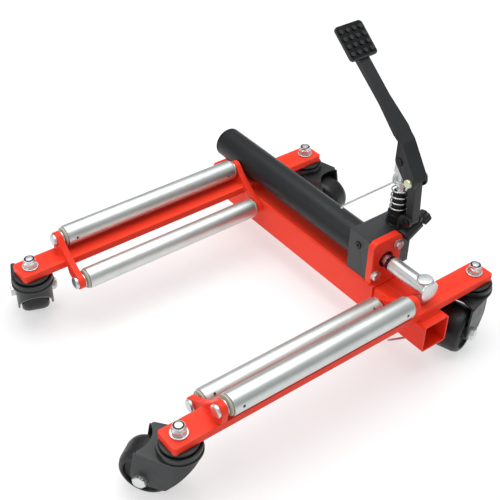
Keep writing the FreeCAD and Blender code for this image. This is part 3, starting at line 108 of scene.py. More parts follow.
# Which way the grease holes of each roller face in the photograph.
HOLE_WAYS = {
    "left_outer_roller": (1, 0, 0.05),
    "left_inner_roller": (-1, 0, 0.3),
    "right_outer_roller": (1, 0, 0.15),
    "right_inner_roller": (1, 0, 1.1),
}

# The heading of each caster in degrees, from its kingpin to its wheel.
CASTERS = {
    "front_left": 160.3,
    "rear_left": 19.7,
    "front_right": -145.4,
    "rear_right": -71.6,
}
CASTER_TRAIL = 45.5
WHEEL_RADIUS = 38
FORK_HALF_WIDTH = 28

# Radii of pins, and of the holes in what is threaded on them.
M12, M12_BORE = 6, 6.02
M8, M8_BORE = 4, 4.02
ROD_RADIUS, ROD_BORE = 9, 9.02

CAMERA_AZIMUTH, CAMERA_ELEVATION, CAMERA_ROLL = 52.34, 38.61, 1.18
CAMERA_PLACE = Vector((905.4, -704.8, 1070.3))
CAMERA_LENS = 69.8

# ---------------------------------------------------------------- camera and light


def make_camera():
    """The camera that the photograph's straight edges give."""
    azimuth = math.radians(CAMERA_AZIMUTH)
    elevation = math.radians(CAMERA_ELEVATION)
    roll = math.radians(CAMERA_ROLL)
    ca, sa = math.cos(azimuth), math.sin(azimuth)
    ce, se = math.cos(elevation), math.sin(elevation)
    right = Vector((ca, sa, 0))
    up = Vector((-sa * se, ca * se, ce))
    back = Vector((sa * ce, -ca * ce, se))
    rolled_right = right * math.cos(roll) + up * math.sin(roll)
    rolled_up = up * math.cos(roll) - right * math.sin(roll)
    data = bpy.data.cameras.new("camera")
    data.lens = CAMERA_LENS
    camera = bpy.data.objects.new("camera", data)
    SCENE.collection.objects.link(camera)
    turn = Matrix((rolled_right, rolled_up, back)).transposed().to_4x4()
    camera.matrix_world = Matrix.Translation((CAMERA_PLACE + MIDDLE) * MM) @ turn
    SCENE.camera = camera


def softbox(name, place, target, width, height, watts):
    """A rectangular lamp, in metres, that faces its target."""
    data = bpy.data.lights.new(name, "AREA")
    data.shape = "RECTANGLE"
    data.size, data.size_y = width, height
    data.energy = watts
    light = bpy.data.objects.new(name, data)
    SCENE.collection.objects.link(light)
    light.location = place
    aim = Vector(target) - Vector(place)
    light.rotation_mode = "QUATERNION"
    light.rotation_quaternion = aim.to_track_quat("-Z", "Y")


def make_world():
    """A white ceiling over a dimmer horizon, so that bright metal shows its bands."""
    world = bpy.data.worlds.new("studio")
    SCENE.world = world
    world.use_nodes = True
    nodes, links = world.node_tree.nodes, world.node_tree.links
    background = nodes["Background"]
    coords = nodes.new("ShaderNodeTexCoord")
    split = nodes.new("ShaderNodeSeparateXYZ")
    ramp = nodes.new("ShaderNodeValToRGB")
    links.new(coords.outputs["Generated"], split.inputs[0])
    links.new(split.outputs["Z"], ramp.inputs["Fac"])
    links.new(ramp.outputs["Color"], background.inputs["Color"])
    stops = ramp.color_ramp.elements
    stops[0].position, stops[0].color = 0.0, (0.30, 0.31, 0.33, 1)
    stops[1].position, stops[1].color = 1.0, (1.0, 1.0, 1.0, 1)
    for place, level in ((0.16, 0.34), (0.30, 0.80), (0.55, 0.95)):
        stop = stops.new(place)
        stop.color = (level, level * 1.005, level * 1.015, 1)
    background.inputs["Strength"].default_value = 0.52


# ---------------------------------------------------------------- materials


class Graph:
    """Short hand for a material's nodes."""

    def __init__(self, name, **principled):
        self.material = bpy.data.materials.new(name)
        self.material.use_nodes = True
        self.tree = self.material.node_tree
        self.shader = self.tree.nodes["Principled BSDF"]
        for key, value in principled.items():
            self.shader.inputs[key.replace("_", " ")].default_value = value
        self.coords = self.tree.nodes.new("ShaderNodeTexCoord")

    def link(self, source, target):
        self.tree.links.new(source, target)

    def noise(self, scale, detail, stretch=(1, 1, 1)):
        """A noise in the object's own metres, scale cells to the metre."""
        mapping = self.tree.nodes.new("ShaderNodeMapping")
        mapping.inputs["Scale"].default_value = stretch
        self.link(self.coords.outputs["Object"], mapping.inputs["Vector"])
        texture = self.tree.nodes.new("ShaderNodeTexNoise")
        texture.inputs["Scale"].default_value = scale
        texture.inputs["Detail"].default_value = detail
        self.link(mapping.outputs[0], texture.inputs["Vector"])
        return texture.outputs["Fac"]

    def remap(self, value, low, high, new_low, new_high):
        """A value's range stretched to a new one, and held there."""
        node = self.tree.nodes.new("ShaderNodeMapRange")
        for index, number in enumerate((low, high, new_low, new_high), start=1):
            node.inputs[index].default_value = number
        self.link(value, node.inputs[0])
        return node.outputs[0]

    def mix(self, share, first, second):
        """From the first colour to the second; each is a socket or three numbers."""
        node = self.tree.nodes.new("ShaderNodeMix")
        node.data_type = "RGBA"
        self.link(share, node.inputs["Factor"])
        for socket, colour in (("A", first), ("B", second)):
            target = [s for s in node.inputs if s.name == socket and s.type == "RGBA"][0]
            if isinstance(colour, tuple):
                target.default_value = (*colour, 1)
            else:
                self.link(colour, target)
        return [s for s in node.outputs if s.type == "RGBA"][0]

    def bump(self, height, strength, distance, under=None):
        """Relief on the shader, on top of another bump where one is given."""
        node = self.tree.nodes.new("ShaderNodeBump")
        node.inputs["Strength"].default_value = strength
        node.inputs["Distance"].default_value = distance
        self.link(height, node.inputs["Height"])
        if under is not None:
            self.link(under, node.inputs["Normal"])
        self.link(node.outputs[0], self.shader.inputs["Normal"])
        return node.outputs[0]

    def edges(self, low=0.51, high=0.57):
        """How far a point stands out, from 0 on a flat to 1 on an edge."""
        geometry = self.tree.nodes.new("ShaderNodeNewGeometry")
        return self.remap(geometry.outputs["Pointiness"], low, high, 0, 1)

    def colour(self, socket):
        self.link(socket, self.shader.inputs["Base Color"])

    def roughness(self, socket):
        self.link(socket, self.shader.inputs["Roughness"])


def powder_coat(name, deep, body, edge, roughness, coat, peel, gloss):
    """Baked powder paint: orange peel, slow mottling, and a painted highlight on the edges."""
    g = Graph(name, Coat_Weight=coat, Coat_Roughness=0.28, Specular_IOR_Level=gloss)
    mottle = g.remap(g.noise(11, 5), 0.32, 0.68, 0, 1)
    base = g.mix(mottle, deep, body)
    fleck = g.remap(g.noise(420, 3), 0.30, 0.75, 0, 0.35)
    base = g.mix(fleck, base, tuple(c * 0.82 for c in body))
    # The edge colour, mixed in where the surface is sharply convex, is a painted highlight.
    g.colour(g.mix(g.edges(), base, edge))
    g.roughness(g.remap(g.noise(70, 4), 0.3, 0.7, roughness - 0.06, roughness + 0.07))
    waves = g.bump(g.noise(520, 2), peel, 0.00035)
    g.bump(g.noise(2600, 2), peel * 0.5, 0.00008, under=waves)
    return g.material


def plated(name, bright, dull, roughness, stretch=(1, 1, 1), lines=0.02):
    """Zinc plate or ground steel: slow clouding, faint lines, slightly rougher in patches."""
    g = Graph(name, Metallic=1.0)
    cloud = g.remap(g.noise(24, 6), 0.30, 0.70, 0, 1)
    streak = g.noise(120, 2, stretch)
    tone = g.mix(cloud, bright, dull)
    g.colour(g.mix(g.remap(streak, 0.35, 0.7, 0, 0.15), tone, tuple(c * 0.88 for c in dull)))
    g.roughness(g.remap(streak, 0.3, 0.7, roughness - 0.02, roughness + 0.03))
    g.bump(streak, lines, 0.00002)
    return g.material


def moulded(name, deep, body, roughness, grain, grain_scale):
    """Moulded plastic: fine grain, faint flow marks, and a painted highlight on the edges."""
    g = Graph(name, Specular_IOR_Level=0.38)
    flow = g.remap(g.noise(30, 5), 0.3, 0.7, 0, 1)
    base = g.mix(flow, deep, body)
    # The lighter colour on the edges is a painted highlight.
    g.colour(g.mix(g.edges(0.51, 0.60), base, tuple(min(c * 1.5 + 0.01, 0.95) for c in body)))
    g.roughness(g.remap(g.noise(110, 4), 0.3, 0.7, roughness - 0.07, roughness + 0.08))
    g.bump(g.noise(grain_scale, 3), grain, 0.0002)
    return g.material


MATERIALS = {
    "red_paint": powder_coat(
        "red_paint", deep=(0.86, 0.026, 0.008), body=(0.92, 0.034, 0.011),
        edge=(0.95, 0.075, 0.035), roughness=0.42, coat=0.0, peel=0.10, gloss=0.18,
    ),
    "black_paint": powder_coat(
        "black_paint", deep=(0.0075, 0.0085, 0.0095), body=(0.012, 0.0135, 0.015),
        edge=(0.03, 0.033, 0.036), roughness=0.40, coat=0.06, peel=0.12, gloss=0.46,
    ),
    "dark_paint": powder_coat(
        "dark_paint", deep=(0.0040, 0.0045, 0.005), body=(0.0065, 0.0075, 0.008),
        edge=(0.02, 0.022, 0.024), roughness=0.40, coat=0.0, peel=0.10, gloss=0.24,
    ),
    # The pedal's much lighter edge colour is a painted highlight along the creases of its lever and
    # pad.
    "pedal_paint": powder_coat(
        "pedal_paint", deep=(0.0026, 0.0030, 0.0032), body=(0.0042, 0.0048, 0.0052),
        edge=(0.075, 0.08, 0.085), roughness=0.32, coat=0.0, peel=0.10, gloss=0.24,
    ),
    "zinc_tube": plated(
        "zinc_tube", bright=(0.68, 0.71, 0.695), dull=(0.60, 0.64, 0.62), roughness=0.44,
        stretch=(1, 7, 1),
    ),
    "zinc_plate": plated(
        "zinc_plate", bright=(0.74, 0.76, 0.76), dull=(0.62, 0.65, 0.65), roughness=0.36,
    ),
    "yellow_zinc": plated(
        "yellow_zinc", bright=(0.76, 0.78, 0.58), dull=(0.64, 0.66, 0.44), roughness=0.30,
    ),
    "spring_steel": plated(
        "spring_steel", bright=(0.76, 0.78, 0.79), dull=(0.62, 0.65, 0.67), roughness=0.24,
    ),
    "polished_rod": plated(
        "polished_rod", bright=(0.80, 0.81, 0.82), dull=(0.70, 0.72, 0.73), roughness=0.26,
        stretch=(9, 1, 1), lines=0.01,
    ),
    "dark_steel": plated(
        "dark_steel", bright=(0.050, 0.052, 0.056), dull=(0.028, 0.030, 0.033), roughness=0.36,
    ),
    # Near-black steel for the thin ring that paints the shade in the groove round the plug.
    "groove_shade_black": plated(
        "groove_shade_black", bright=(0.012, 0.013, 0.014), dull=(0.008, 0.0085, 0.009), roughness=0.34,
    ),
    "nylon": moulded(
        "nylon", deep=(0.33, 0.33, 0.26), body=(0.42, 0.42, 0.34), roughness=0.46, grain=0.12,
        grain_scale=1400,
    ),
    "black_nylon": moulded(
        "black_nylon", deep=(0.006, 0.0065, 0.007), body=(0.010, 0.011, 0.012), roughness=0.36,
        grain=0.15, grain_scale=1500,
    ),
    "wheel_polymer": moulded(
        "wheel_polymer", deep=(0.0045, 0.005, 0.0055), body=(0.0075, 0.0085, 0.009),
        roughness=0.42, grain=0.12, grain_scale=1200,
    ),
}
# CAD nodes whose paint is darker in the photograph than their slot's.
LOOKS = {"pedal_lever": "pedal_paint", "rocking_link": "pedal_paint", "pedal_pad": "pedal_paint"}
SLOT_OF = {row["node"]: row["material_slot"] for row in frame["record"]["subparts"]}

# ---------------------------------------------------------------- mesh helpers


def turn_to(direction):
    """Rotation that takes +Z to a direction."""
    return Vector(direction).to_track_quat("Z", "Y").to_matrix().to_4x4()


def at(x, y, z, direction=(0, 0, 1), spin=0):
    """A place, with +Z turned to a direction and then spun about it in degrees."""
    return (
        Matrix.Translation((x, y, z)) @ turn_to(direction)
        @ Matrix.Rotation(math.radians(spin), 4, "Z")
    )


def caster_frame(name):
    """u runs from the kingpin to the wheel, z up from the floor."""
    end, arm = name.split("_")
    x = ARM_X if arm == "right" else -ARM_X
    y = KINGPIN_Y if end == "rear" else -KINGPIN_Y
    turn = Matrix.Rotation(math.radians(CASTERS[name]), 4, "Z")
    return Matrix.Translation((x, y, 0)) @ turn


def piece(name, verts, faces, slot, body, stands_for=(), sharp=32, look=None):
    """A new mesh object from millimetre points, finished, and riding on its body."""
    mesh = bpy.data.meshes.new(name)
    mesh.from_pydata([(Vector(v) + MIDDLE) * MM for v in verts], [], faces)
    bm = bmesh.new()
    bm.from_mesh(mesh)
    bmesh.ops.remove_doubles(bm, verts=bm.verts, dist=1e-7)
    bmesh.ops.recalc_face_normals(bm, faces=bm.faces)
    bm.to_mesh(mesh)
    bm.free()
    shade(mesh, sharp)
    mesh.materials.append(MATERIALS[look or slot])
    item = bpy.data.objects.new(name, mesh)
    SCENE.collection.objects.link(item)
    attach(item, body)
    if stands_for:
        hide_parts(*stands_for)
    return item


def shade(mesh, sharp):
    """Smooth shading, apart from edges sharper than this many degrees."""
    mesh.polygons.foreach_set("use_smooth", [True] * len(mesh.polygons))
    mesh.set_sharp_from_angle(angle=math.radians(sharp))


def softened(points, closed):
    """Round the corners of a 2-D outline: a third number on a point is its rounding."""
    steps = 4
    result = []
    count = len(points)
    for index, point in enumerate(points):
        radius = point[2] if len(point) > 2 else 0
        here = Vector(point[:2])
        if not radius or (not closed and index in (0, count - 1)):
            result.append(here)
            continue
        before = (Vector(points[index - 1][:2]) - here)
        after = (Vector(points[(index + 1) % count][:2]) - here)
        u, w = before.normalized(), after.normalized()
        half = u.angle(w) / 2
        reach = min(radius / math.tan(half), before.length * 0.49, after.length * 0.49)
        radius = reach * math.tan(half)
        centre = here + (u + w).normalized() * (radius / math.sin(half))
        first = (here + u * reach) - centre
        last = (here + w * reach) - centre
        sweep = first.angle(last)
        side = 1 if first.x * last.y - first.y * last.x > 0 else -1
        for step in range(steps + 1):
            turn = Matrix.Rotation(side * sweep * step / steps, 2)
            result.append(centre + turn @ first)
    return result


def turned(profile, steps=72, flats=0, lobes=(0, 0), closed=False):
    """Points and faces of a profile of (radius, height[, rounding]) turned about Z.

    flats trims it to a hexagon of that width, and lobes = (count, depth) waves its outline.
    """
    outline = softened(profile, closed)
    apothem = flats / 2
    verts = []
    for radius, height in outline:
        for step in range(steps):
            angle = 2 * math.pi * step / steps
            r = radius
            if flats:
                wrapped = (angle + math.pi / 6) % (math.pi / 3) - math.pi / 6
                r = min(r, apothem / math.cos(wrapped))
            if lobes[0]:
                r -= lobes[1] * (0.5 + 0.5 * math.cos(lobes[0] * angle)) ** 2
            verts.append(Vector((r * math.cos(angle), r * math.sin(angle), height)))
    rows = len(outline)
    faces = []
    for row in range(rows if closed else rows - 1):
        below, above = row * steps, (row + 1) % rows * steps
        for step in range(steps):
            following = (step + 1) % steps
            faces.append((below + step, below + following, above + following, above + step))
    if not closed:
        faces.append(tuple(range(steps - 1, -1, -1)))
        faces.append(tuple((rows - 1) * steps + step for step in range(steps)))
    return verts, faces


def rod(radius, length, chamfer=0, steps=32):
    """A plain round rod up from the origin, with its far end rounded off."""
    return turned([(0.01, 0), (radius, 0), (radius, length, chamfer), (0.01, length)], steps)


def hex_bolt_head(flats, height):
    """Bolt head with a chamfered crown; the seat is at z 0."""
    corner = flats / 2 / math.cos(math.pi / 6)
    crown = flats / 2 * 0.97
    return turned([
        (0.01, 0), (corner + 0.3, 0), (corner + 0.3, height - (corner - crown) * 0.5),
        (crown, height, 0.2), (0.01, height),
    ], 72, flats)


def placed(shape, matrix):
    """A shape moved to its place."""
    return [matrix @ v for v in shape[0]], shape[1]


def joined(shapes):
    """Several shapes as one."""
    verts, faces = [], []
    for more_verts, more_faces in shapes:
        start = len(verts)
        verts += more_verts
        faces += [tuple(start + i for i in face) for face in more_faces]
    return verts, faces


def swept(points, radius, sides=12):
    """A round wire along points; radius is a number or a function of the share along it."""
    points = [Vector(p) for p in points]
    count = len(points)
    tangents = []
    for index in range(count):
        before = points[max(index - 1, 0)]
        after = points[min(index + 1, count - 1)]
        tangents.append((after - before).normalized())
    normal = tangents[0].orthogonal().normalized()
    verts, faces = [], []
    for index, (point, tangent) in enumerate(zip(points, tangents)):
        normal = (normal - tangent * normal.dot(tangent)).normalized()
        other = tangent.cross(normal)
        r = radius(index / (count - 1)) if callable(radius) else radius
        for side in range(sides):
            angle = 2 * math.pi * side / sides
            verts.append(point + (normal * math.cos(angle) + other * math.sin(angle)) * r)
    for index in range(count - 1):
        below, above = index * sides, (index + 1) * sides
        for side in range(sides):
            following = (side + 1) % sides
            faces.append((below + side, below + following, above + following, above + side))
    faces.append(tuple(range(sides - 1, -1, -1)))
    faces.append(tuple((count - 1) * sides + side for side in range(sides)))
    return verts, faces


def lathe_piece(name, profile, matrix, slot, body, nodes, steps=72, closed=False, look=None):
    """A piece turned from one profile."""
    shape = placed(turned(profile, steps, closed=closed), matrix)
    return piece(name, *shape, slot, body, nodes, look=look)


def cut(item, cutter):
    """Take a cutter out of a piece for good."""
    boolean = item.modifiers.new("cut", "BOOLEAN")
    boolean.object = cutter
    boolean.operation = "DIFFERENCE"
    boolean.solver = "EXACT"
    bpy.context.view_layer.update()
    graph = bpy.context.evaluated_depsgraph_get()
    mesh = bpy.data.meshes.new_from_object(item.evaluated_get(graph))
    item.modifiers.clear()
    item.data = mesh
    bpy.data.objects.remove(cutter)
    while len(mesh.materials) > 1:
        mesh.materials.pop()
    mesh.polygons.foreach_set("material_index", [0] * len(mesh.polygons))
    shade(mesh, 32)


def bevelled(item, width):
    """Weld, clear flat triangles, then round the hard edges, all as modifiers."""
    weld = item.modifiers.new("weld", "WELD")
    weld.merge_threshold = 1e-6
    planar = item.modifiers.new("planar", "DECIMATE")
    planar.decimate_type = "DISSOLVE"
    planar.angle_limit = math.radians(0.6)
    bevel = item.modifiers.new("bevel", "BEVEL")
    bevel.width = width * MM
    bevel.segments = 3
    bevel.limit_method = "ANGLE"
    bevel.angle_limit = math.radians(30)
    bevel.miter_outer = "MITER_ARC"
    bevel.use_clamp_overlap = True
    weighted = item.modifiers.new("normals", "WEIGHTED_NORMAL")
    weighted.keep_sharp = True
    weighted.weight = 80


def cad_finish(node, bevel):
    """Keep a CAD node: its slot's material, softened edges and smooth curves."""
    item = frame["nodes"][node]
    mesh = item.data
    if "custom_normal" in mesh.attributes:
        mesh.attributes.remove(mesh.attributes["custom_normal"])
    mesh.polygons.foreach_set("use_smooth", [True] * len(mesh.polygons))
    mesh.materials.clear()
    mesh.materials.append(MATERIALS[LOOKS.get(node, SLOT_OF[node])])
    if bevel:
        bevelled(item, bevel)


# ---------------------------------------------------------------- stage


def make_floor():
    """A plain pale floor, faintly lit from within so that it stays nearly white."""
    graph = Graph("floor", Roughness=0.75, Emission_Color=(1, 1, 1, 1), Emission_Strength=0.56)
    clouds = graph.remap(graph.noise(3, 4), 0.3, 0.7, 0, 1)
    graph.colour(graph.mix(clouds, (0.42, 0.425, 0.43), (0.45, 0.45, 0.45)))
    half = 9
    mesh = bpy.data.meshes.new("floor")
    mesh.from_pydata(
        [(-half, -half, 0), (half, -half, 0), (half, half, 0), (-half, half, 0)], [], [(0, 1, 2, 3)],
    )
    mesh.materials.append(graph.material)
    floor = bpy.data.objects.new("floor", mesh)
    SCENE.collection.objects.link(floor)


make_camera()
make_world()
make_floor()
softbox(
    "ceiling_light", place=(-0.3, 0.3, 2.3), target=(0, 0, 0), width=2.4, height=2.2, watts=50,
)
softbox(
    "front_light", place=(-0.6, -2.3, 1.3), target=(0, 0, 0.1), width=1.8, height=1.2, watts=16,
)
SCENE.view_settings.view_transform = "Standard"
SCENE.view_settings.look = "None"

# ---------------------------------------------------------------- CAD nodes that stay

# How far each kept node's hard edges are rounded off.
BEVELS = {
    "main_beam": 0.5, "inner_tube": 0.5, "left_arm_bar": 0.9, "right_arm_bar": 0.9,
    "packing_plate": 0.6, "ram_bracket_plate": 0.9, "pump_block": 1.2, "link_bracket": 1.0,
    "rocking_link": 1.4, "pedal_lever": 1.6, "pedal_pad": 0.9, "pump_plunger": 1.0,
}
for node in frame["nodes"]:
    width = BEVELS.get(node)
    if width is None and "roller_plate" in node:
        width = 0.9
    if width is None and "caster_fork" in node:
        width = 1.3
    cad_finish(node, width)

# ---------------------------------------------------------------- rollers


def roller(side_name, row):
    """A length of plated tube with a grease hole near each end."""
    sign, _ = SIDES[side_name]
    x, z = ROLLERS[row]
    name = f"{side_name}_{row}_roller"
    outer, inner, hole, hole_inset = 16.85, 14.25, 2.2, 14
    tube = [
        (outer, 0, 0.9), (outer, ROLLER_LENGTH, 0.9), (inner, ROLLER_LENGTH, 0.5), (inner, 0, 0.5),
    ]
    shape = placed(turned(tube, 96, closed=True), at(sign * x, ROLLER_FRONT_Y, z, (0, 1, 0)))
    item = piece(name + "_shell", *shape, "zinc_tube", name, [name])
    for inset in (hole_inset, ROLLER_LENGTH - hole_inset):
        place = at(sign * x, ROLLER_FRONT_Y + inset, z, HOLE_WAYS[name])
        drill = turned([(hole, 0), (hole, 2 * outer)], 24)
        cut(item, piece(f"cutter_{name}_{inset}", *placed(drill, place), "dark_steel", name))


for side_name in SIDES:
    for row in ROLLERS:
        roller(side_name, row)


def roller_fittings(side_name):
    """Axle heads, rods, washers and nylon bushes of an arm's two rollers."""
    sign, body = SIDES[side_name]
    rear = REAR_PLATE_Y[side_name]
    steel, nylon = [], []
    for row, (x, z) in ROLLERS.items():
        x *= sign
        head = [(0.01, 0), (7.6, 0, 1.0), (10, 1.3, 1.4), (10, 5.0, 0.3), (0.01, 5.0)]
        steel.append(placed(turned(head, 48), at(x, PLATE_FRONT_Y - 5, z, (0, 1, 0))))
        length = rear + PLATE_THICKNESS - PLATE_FRONT_Y
        axle = rod(M12, length, 1.0, steps=40)
        steel.append(placed(axle, at(x, PLATE_FRONT_Y, z, (0, 1, 0))))
        for y in (PLATE_FRONT_Y + PLATE_THICKNESS, rear - 2):
            washer = [(11, 0, 0.5), (11, 2, 0.5), (M12_BORE, 2, 0.2), (M12_BORE, 0, 0.2)]
            steel.append(placed(turned(washer, 48, closed=True), at(x, y, z, (0, 1, 0))))
        gap = 0.4
        front, back = ROLLER_FRONT_Y - gap, ROLLER_FRONT_Y + ROLLER_LENGTH + gap
        for y, way in ((front, -1), (back, 1)):
            bush = [
                (M12_BORE, 3.6, 0.4), (11.5, 3.6, 0.4), (12.5, 3.0, 0.4), (15, 3.0, 0.8), (15, 0, 0.3),
                (14.1, 0), (14.1, -14.6, 0.8), (M12_BORE, -14.6, 0.3),
            ]
            nylon.append(placed(turned(bush, 64, closed=True), at(x, y, z, (0, way, 0))))
    piece(
        side_name + "_roller_axle_set", *joined(steel), "zinc_plate", body,
        [side_name + "_roller_axles"],
    )
    piece(
        side_name + "_roller_bush_set", *joined(nylon), "nylon", body,
        [side_name + "_roller_bushes"],
    )


for side_name in SIDES:
    roller_fittings(side_name)

# ---------------------------------------------------------------- casters


def caster_wheel(name):
    """Solid wheel: hub, dished web, and a crowned tread between two rims."""
    bore = 6.15
    right_half = [
        (38, 12, 4.5), (36, 18.6, 3.5), (32.6, 21.3, 2.0), (30.6, 22, 0.8), (28.8, 21.2, 0.6),
        (27.2, 16.5, 2), (21, 15.6, 2), (14, 16.5, 2), (12.6, 23.2, 0.8), (11.6, 23.2, 0.5),
        (11, 24.4, 0.8), (bore, 24.4, 0.4),
    ]
    left_half = [(radius, -across, rounding) for radius, across, rounding in reversed(right_half)]
    matrix = caster_frame(name) @ at(CASTER_TRAIL, 0, WHEEL_RADIUS, (0, 1, 0))
    shape = placed(turned(left_half + right_half, 96, closed=True), matrix)
    piece(name + "_wheel_tread", *shape, "wheel_polymer", name + "_wheel", [name + "_caster_wheel"])


def caster_axle(name):
    """Bolt through the fork and the wheel, with a lock nut."""
    far_side = at(CASTER_TRAIL, FORK_HALF_WIDTH, WHEEL_RADIUS, (0, 1, 0), 12)
    shank_side = at(CASTER_TRAIL, FORK_HALF_WIDTH, WHEEL_RADIUS, (0, -1, 0))
    near_side = at(CASTER_TRAIL, -FORK_HALF_WIDTH, WHEEL_RADIUS, (0, -1, 0), 20)
    nut = turned([
        (M12_BORE, 0), (10.7, 0), (10.7, 7.2), (9.2, 8.2, 0.3), (8.4, 8.6, 0.5), (8.2, 10, 0.7),
        (M12_BORE, 10, 0.3),
    ], 72, 18, closed=True)
    verts, faces = joined([
        placed(hex_bolt_head(18, 7.5), far_side),
        placed(rod(M12, 67, 1.0, steps=40), shank_side),
        placed(nut, near_side),
    ])
    frame_matrix = caster_frame(name)
    piece(
        name + "_axle_bolt", [frame_matrix @ v for v in verts], faces, "zinc_plate",
        name + "_caster", [name + "_caster_axle"],
    )


for name in CASTERS:
    caster_wheel(name)
    caster_axle(name)


def lock_nut():
    """Hexagon nut with a collar that holds its insert."""
    return turned([
        (M12_BORE, 0), (9.4, 0, 0.3), (11.2, 0.9), (11.2, 7.6), (9.3, 8.7, 0.3), (8.6, 9.2, 0.6),
        (8.6, 13, 0.5), (8.05, 13, 0.1), (8.05, 10.3), (M12_BORE, 10.3),
    ], 72, 19, closed=True)


def kingpin_set(side_name):
    """Studs, washers and lock nuts, with the nuts' black inserts as their own piece."""
    sign, body = SIDES[side_name]
    washer_thickness = 2.5
    nut_seat = BAR_TOP + washer_thickness
    head_top = 85.7
    washer = turned([
        (13, 0, 0.6), (13, washer_thickness, 0.9), (M12_BORE, washer_thickness, 0.3),
        (M12_BORE, 0, 0.2),
    ], 72, closed=True)
    insert = turned([
        (M12_BORE, 10.4), (8.0, 10.4), (8.0, 12.7, 0.2), (M12_BORE, 12.7, 0.2),
    ], 48, closed=True)
    stud = turned([(0.01, 0), (M12, 0), (M12, 45.4), (5.3, 46.9, 0.3), (0.01, 47.2)], 48)
    race = turned([
        (M12_BORE, 95.5, 0.3), (23, 95.5, 0.5), (25.5, 97, 1.2), (27, 99.5, 1.6),
        (27, BAR_LOW, 0.4), (M12_BORE, BAR_LOW, 0.3),
    ], 72, closed=True)
    nuts, studs, races, inserts = [], [], [], []
    for end, spin in ((-1, 8), (1, 22)):
        x, y = sign * ARM_X, end * KINGPIN_Y
        nuts.append(placed(washer, at(x, y, BAR_TOP)))
        nuts.append(placed(lock_nut(), at(x, y, nut_seat, spin=spin)))
        inserts.append(placed(insert, at(x, y, nut_seat)))
        studs.append(placed(stud, at(x, y, head_top)))
        studs.append(placed(hex_bolt_head(19, 7.5), at(x, y, head_top, (0, 0, -1))))
        races.append(placed(race, at(x, y, 0)))
    piece(side_name + "_lock_nuts", *joined(nuts), "zinc_plate", body, [side_name + "_kingpin_nuts"])
    piece(side_name + "_nut_inserts", *joined(inserts), "black_nylon", body)
    piece(side_name + "_studs", *joined(studs), "zinc_plate", body, [side_name + "_kingpins"])
    piece(side_name + "_race_set", *joined(races), "black_paint", body, [side_name + "_caster_races"])


for side_name in SIDES:
    kingpin_set(side_name)

# ---------------------------------------------------------------- hydraulic cylinder and ram

RAM_LINE = at(0, AXIS_Y, TANK_Z, (1, 0, 0))


lathe_piece(
    "tank_shell",
    [
        (0.01, -288), (21.5, -288, 2.5), (26, -285.2, 2.2), (26, -282.6, 0.5), (25.4, -282.2, 0.3),
        (25.4, -281.6, 0.3), (26, -281.2, 0.3), (26, 69), (0.01, 69),
    ],
    RAM_LINE, "black_paint", "frame", ["tank_tube", "tank_end_cap"], 96, look="dark_paint",
)
lathe_piece(
    "ram_chromed_rod",
    [(0.01, -272), (ROD_RADIUS, -272, 1), (ROD_RADIUS, 178, 0.6), (0.01, 178)],
    RAM_LINE, "polished_rod", "carriage", ["ram_rod"],
)
lathe_piece(
    "ram_ridged_ring",
    [
        (ROD_BORE, 132, 0.2), (10.6, 132, 0.5), (11.5, 133, 0.4), (11.5, 134.4, 0.4),
        (10.3, 135, 0.3), (10.3, 135.6, 0.3), (11.5, 136.2, 0.4), (11.5, 138, 0.3),
        (ROD_BORE, 138, 0.2),
    ],
    RAM_LINE, "dark_steel", "carriage", ["ram_lock_ring"], closed=True,
)
lathe_piece(
    "ram_gland",
    [
        (9.1, 112), (14, 112), (14, 120.5, 0.5), (12.6, 120.5, 0.4), (12.4, 118.6, 0.5),
        (10.4, 118.4, 0.4), (10.2, 120.8, 0.4), (9.1, 121.2, 0.3),
    ],
    RAM_LINE, "dark_steel", "frame", ["gland_ring"], closed=True,
)


def ram_sleeve():
    """Sleeve with an end disc on the rod, and the headed pin that ties it to the arm."""
    disc_face = 217.7
    sleeve = lathe_piece(
        "ram_sleeve_tube",
        [
            (ROD_BORE, 139, 0.4), (12.5, 139, 0.9), (12.5, 213.7, 0.8), (16.5, 213.7, 0.5),
            (16.5, disc_face, 0.9), (0.01, disc_face), (0.01, 178.2), (ROD_BORE, 178.2),
        ],
        RAM_LINE, "zinc_plate", "carriage", ["ram_sleeve"], closed=True,
    )
    head_seat = 12.8
    hole = turned([
        (0.01, -20), (M12_BORE, -20), (M12_BORE, head_seat), (13.2, head_seat), (13.2, 30), (0.01, 30),
    ], 72)
    place = at(ARM_X, AXIS_Y, TANK_Z)
    cut(sleeve, piece("cutter_sleeve", *placed(hole, place), "zinc_plate", "carriage"))
    pin = [
        (0.01, -116.8), (5.1, -116.8), (M12, -115.6, 0.3), (M12, -38.8), (8, -38.8), (8, -25.5),
        (M12, -25.5), (M12, 0), (12.3, 0, 0.5), (12.5, 1.0, 0.6), (12.5, 2.8, 1.4),
        (11.0, 4.3, 1.6), (0.01, 4.6),
    ]
    lathe_piece(
        "ram_headed_pin", pin, at(ARM_X, AXIS_Y, TANK_Z + head_seat), "zinc_plate", "carriage",
        ["ram_pin"],
    )


ram_sleeve()


def bracket_bolts():
    """Two bolts through opposite corners of the bracket plate, into the block."""
    offset = 21
    washer_thickness = 1.6
    shank_start = 96
    shank = rod(M8, BRACKET_RIGHT_X + washer_thickness - shank_start)
    bore = 4.05
    washer = turned([
        (8, 0, 0.3), (8, washer_thickness, 0.4), (bore, washer_thickness), (bore, 0),
    ], 60, closed=True)
    shapes = []
    for sign, spin in ((-1, 10), (1, 25)):
        y, z = AXIS_Y + sign * offset, TANK_Z + sign * offset
        head = at(BRACKET_RIGHT_X + washer_thickness, y, z, (1, 0, 0), spin)
        shapes.append(placed(washer, at(BRACKET_RIGHT_X, y, z, (1, 0, 0))))
        shapes.append(placed(hex_bolt_head(13, 5.3), head))
        shapes.append(placed(shank, at(shank_start, y, z, (1, 0, 0))))
    piece("bracket_bolt_set", *joined(shapes), "zinc_plate", "frame", ["bracket_bolts"])


bracket_bolts()


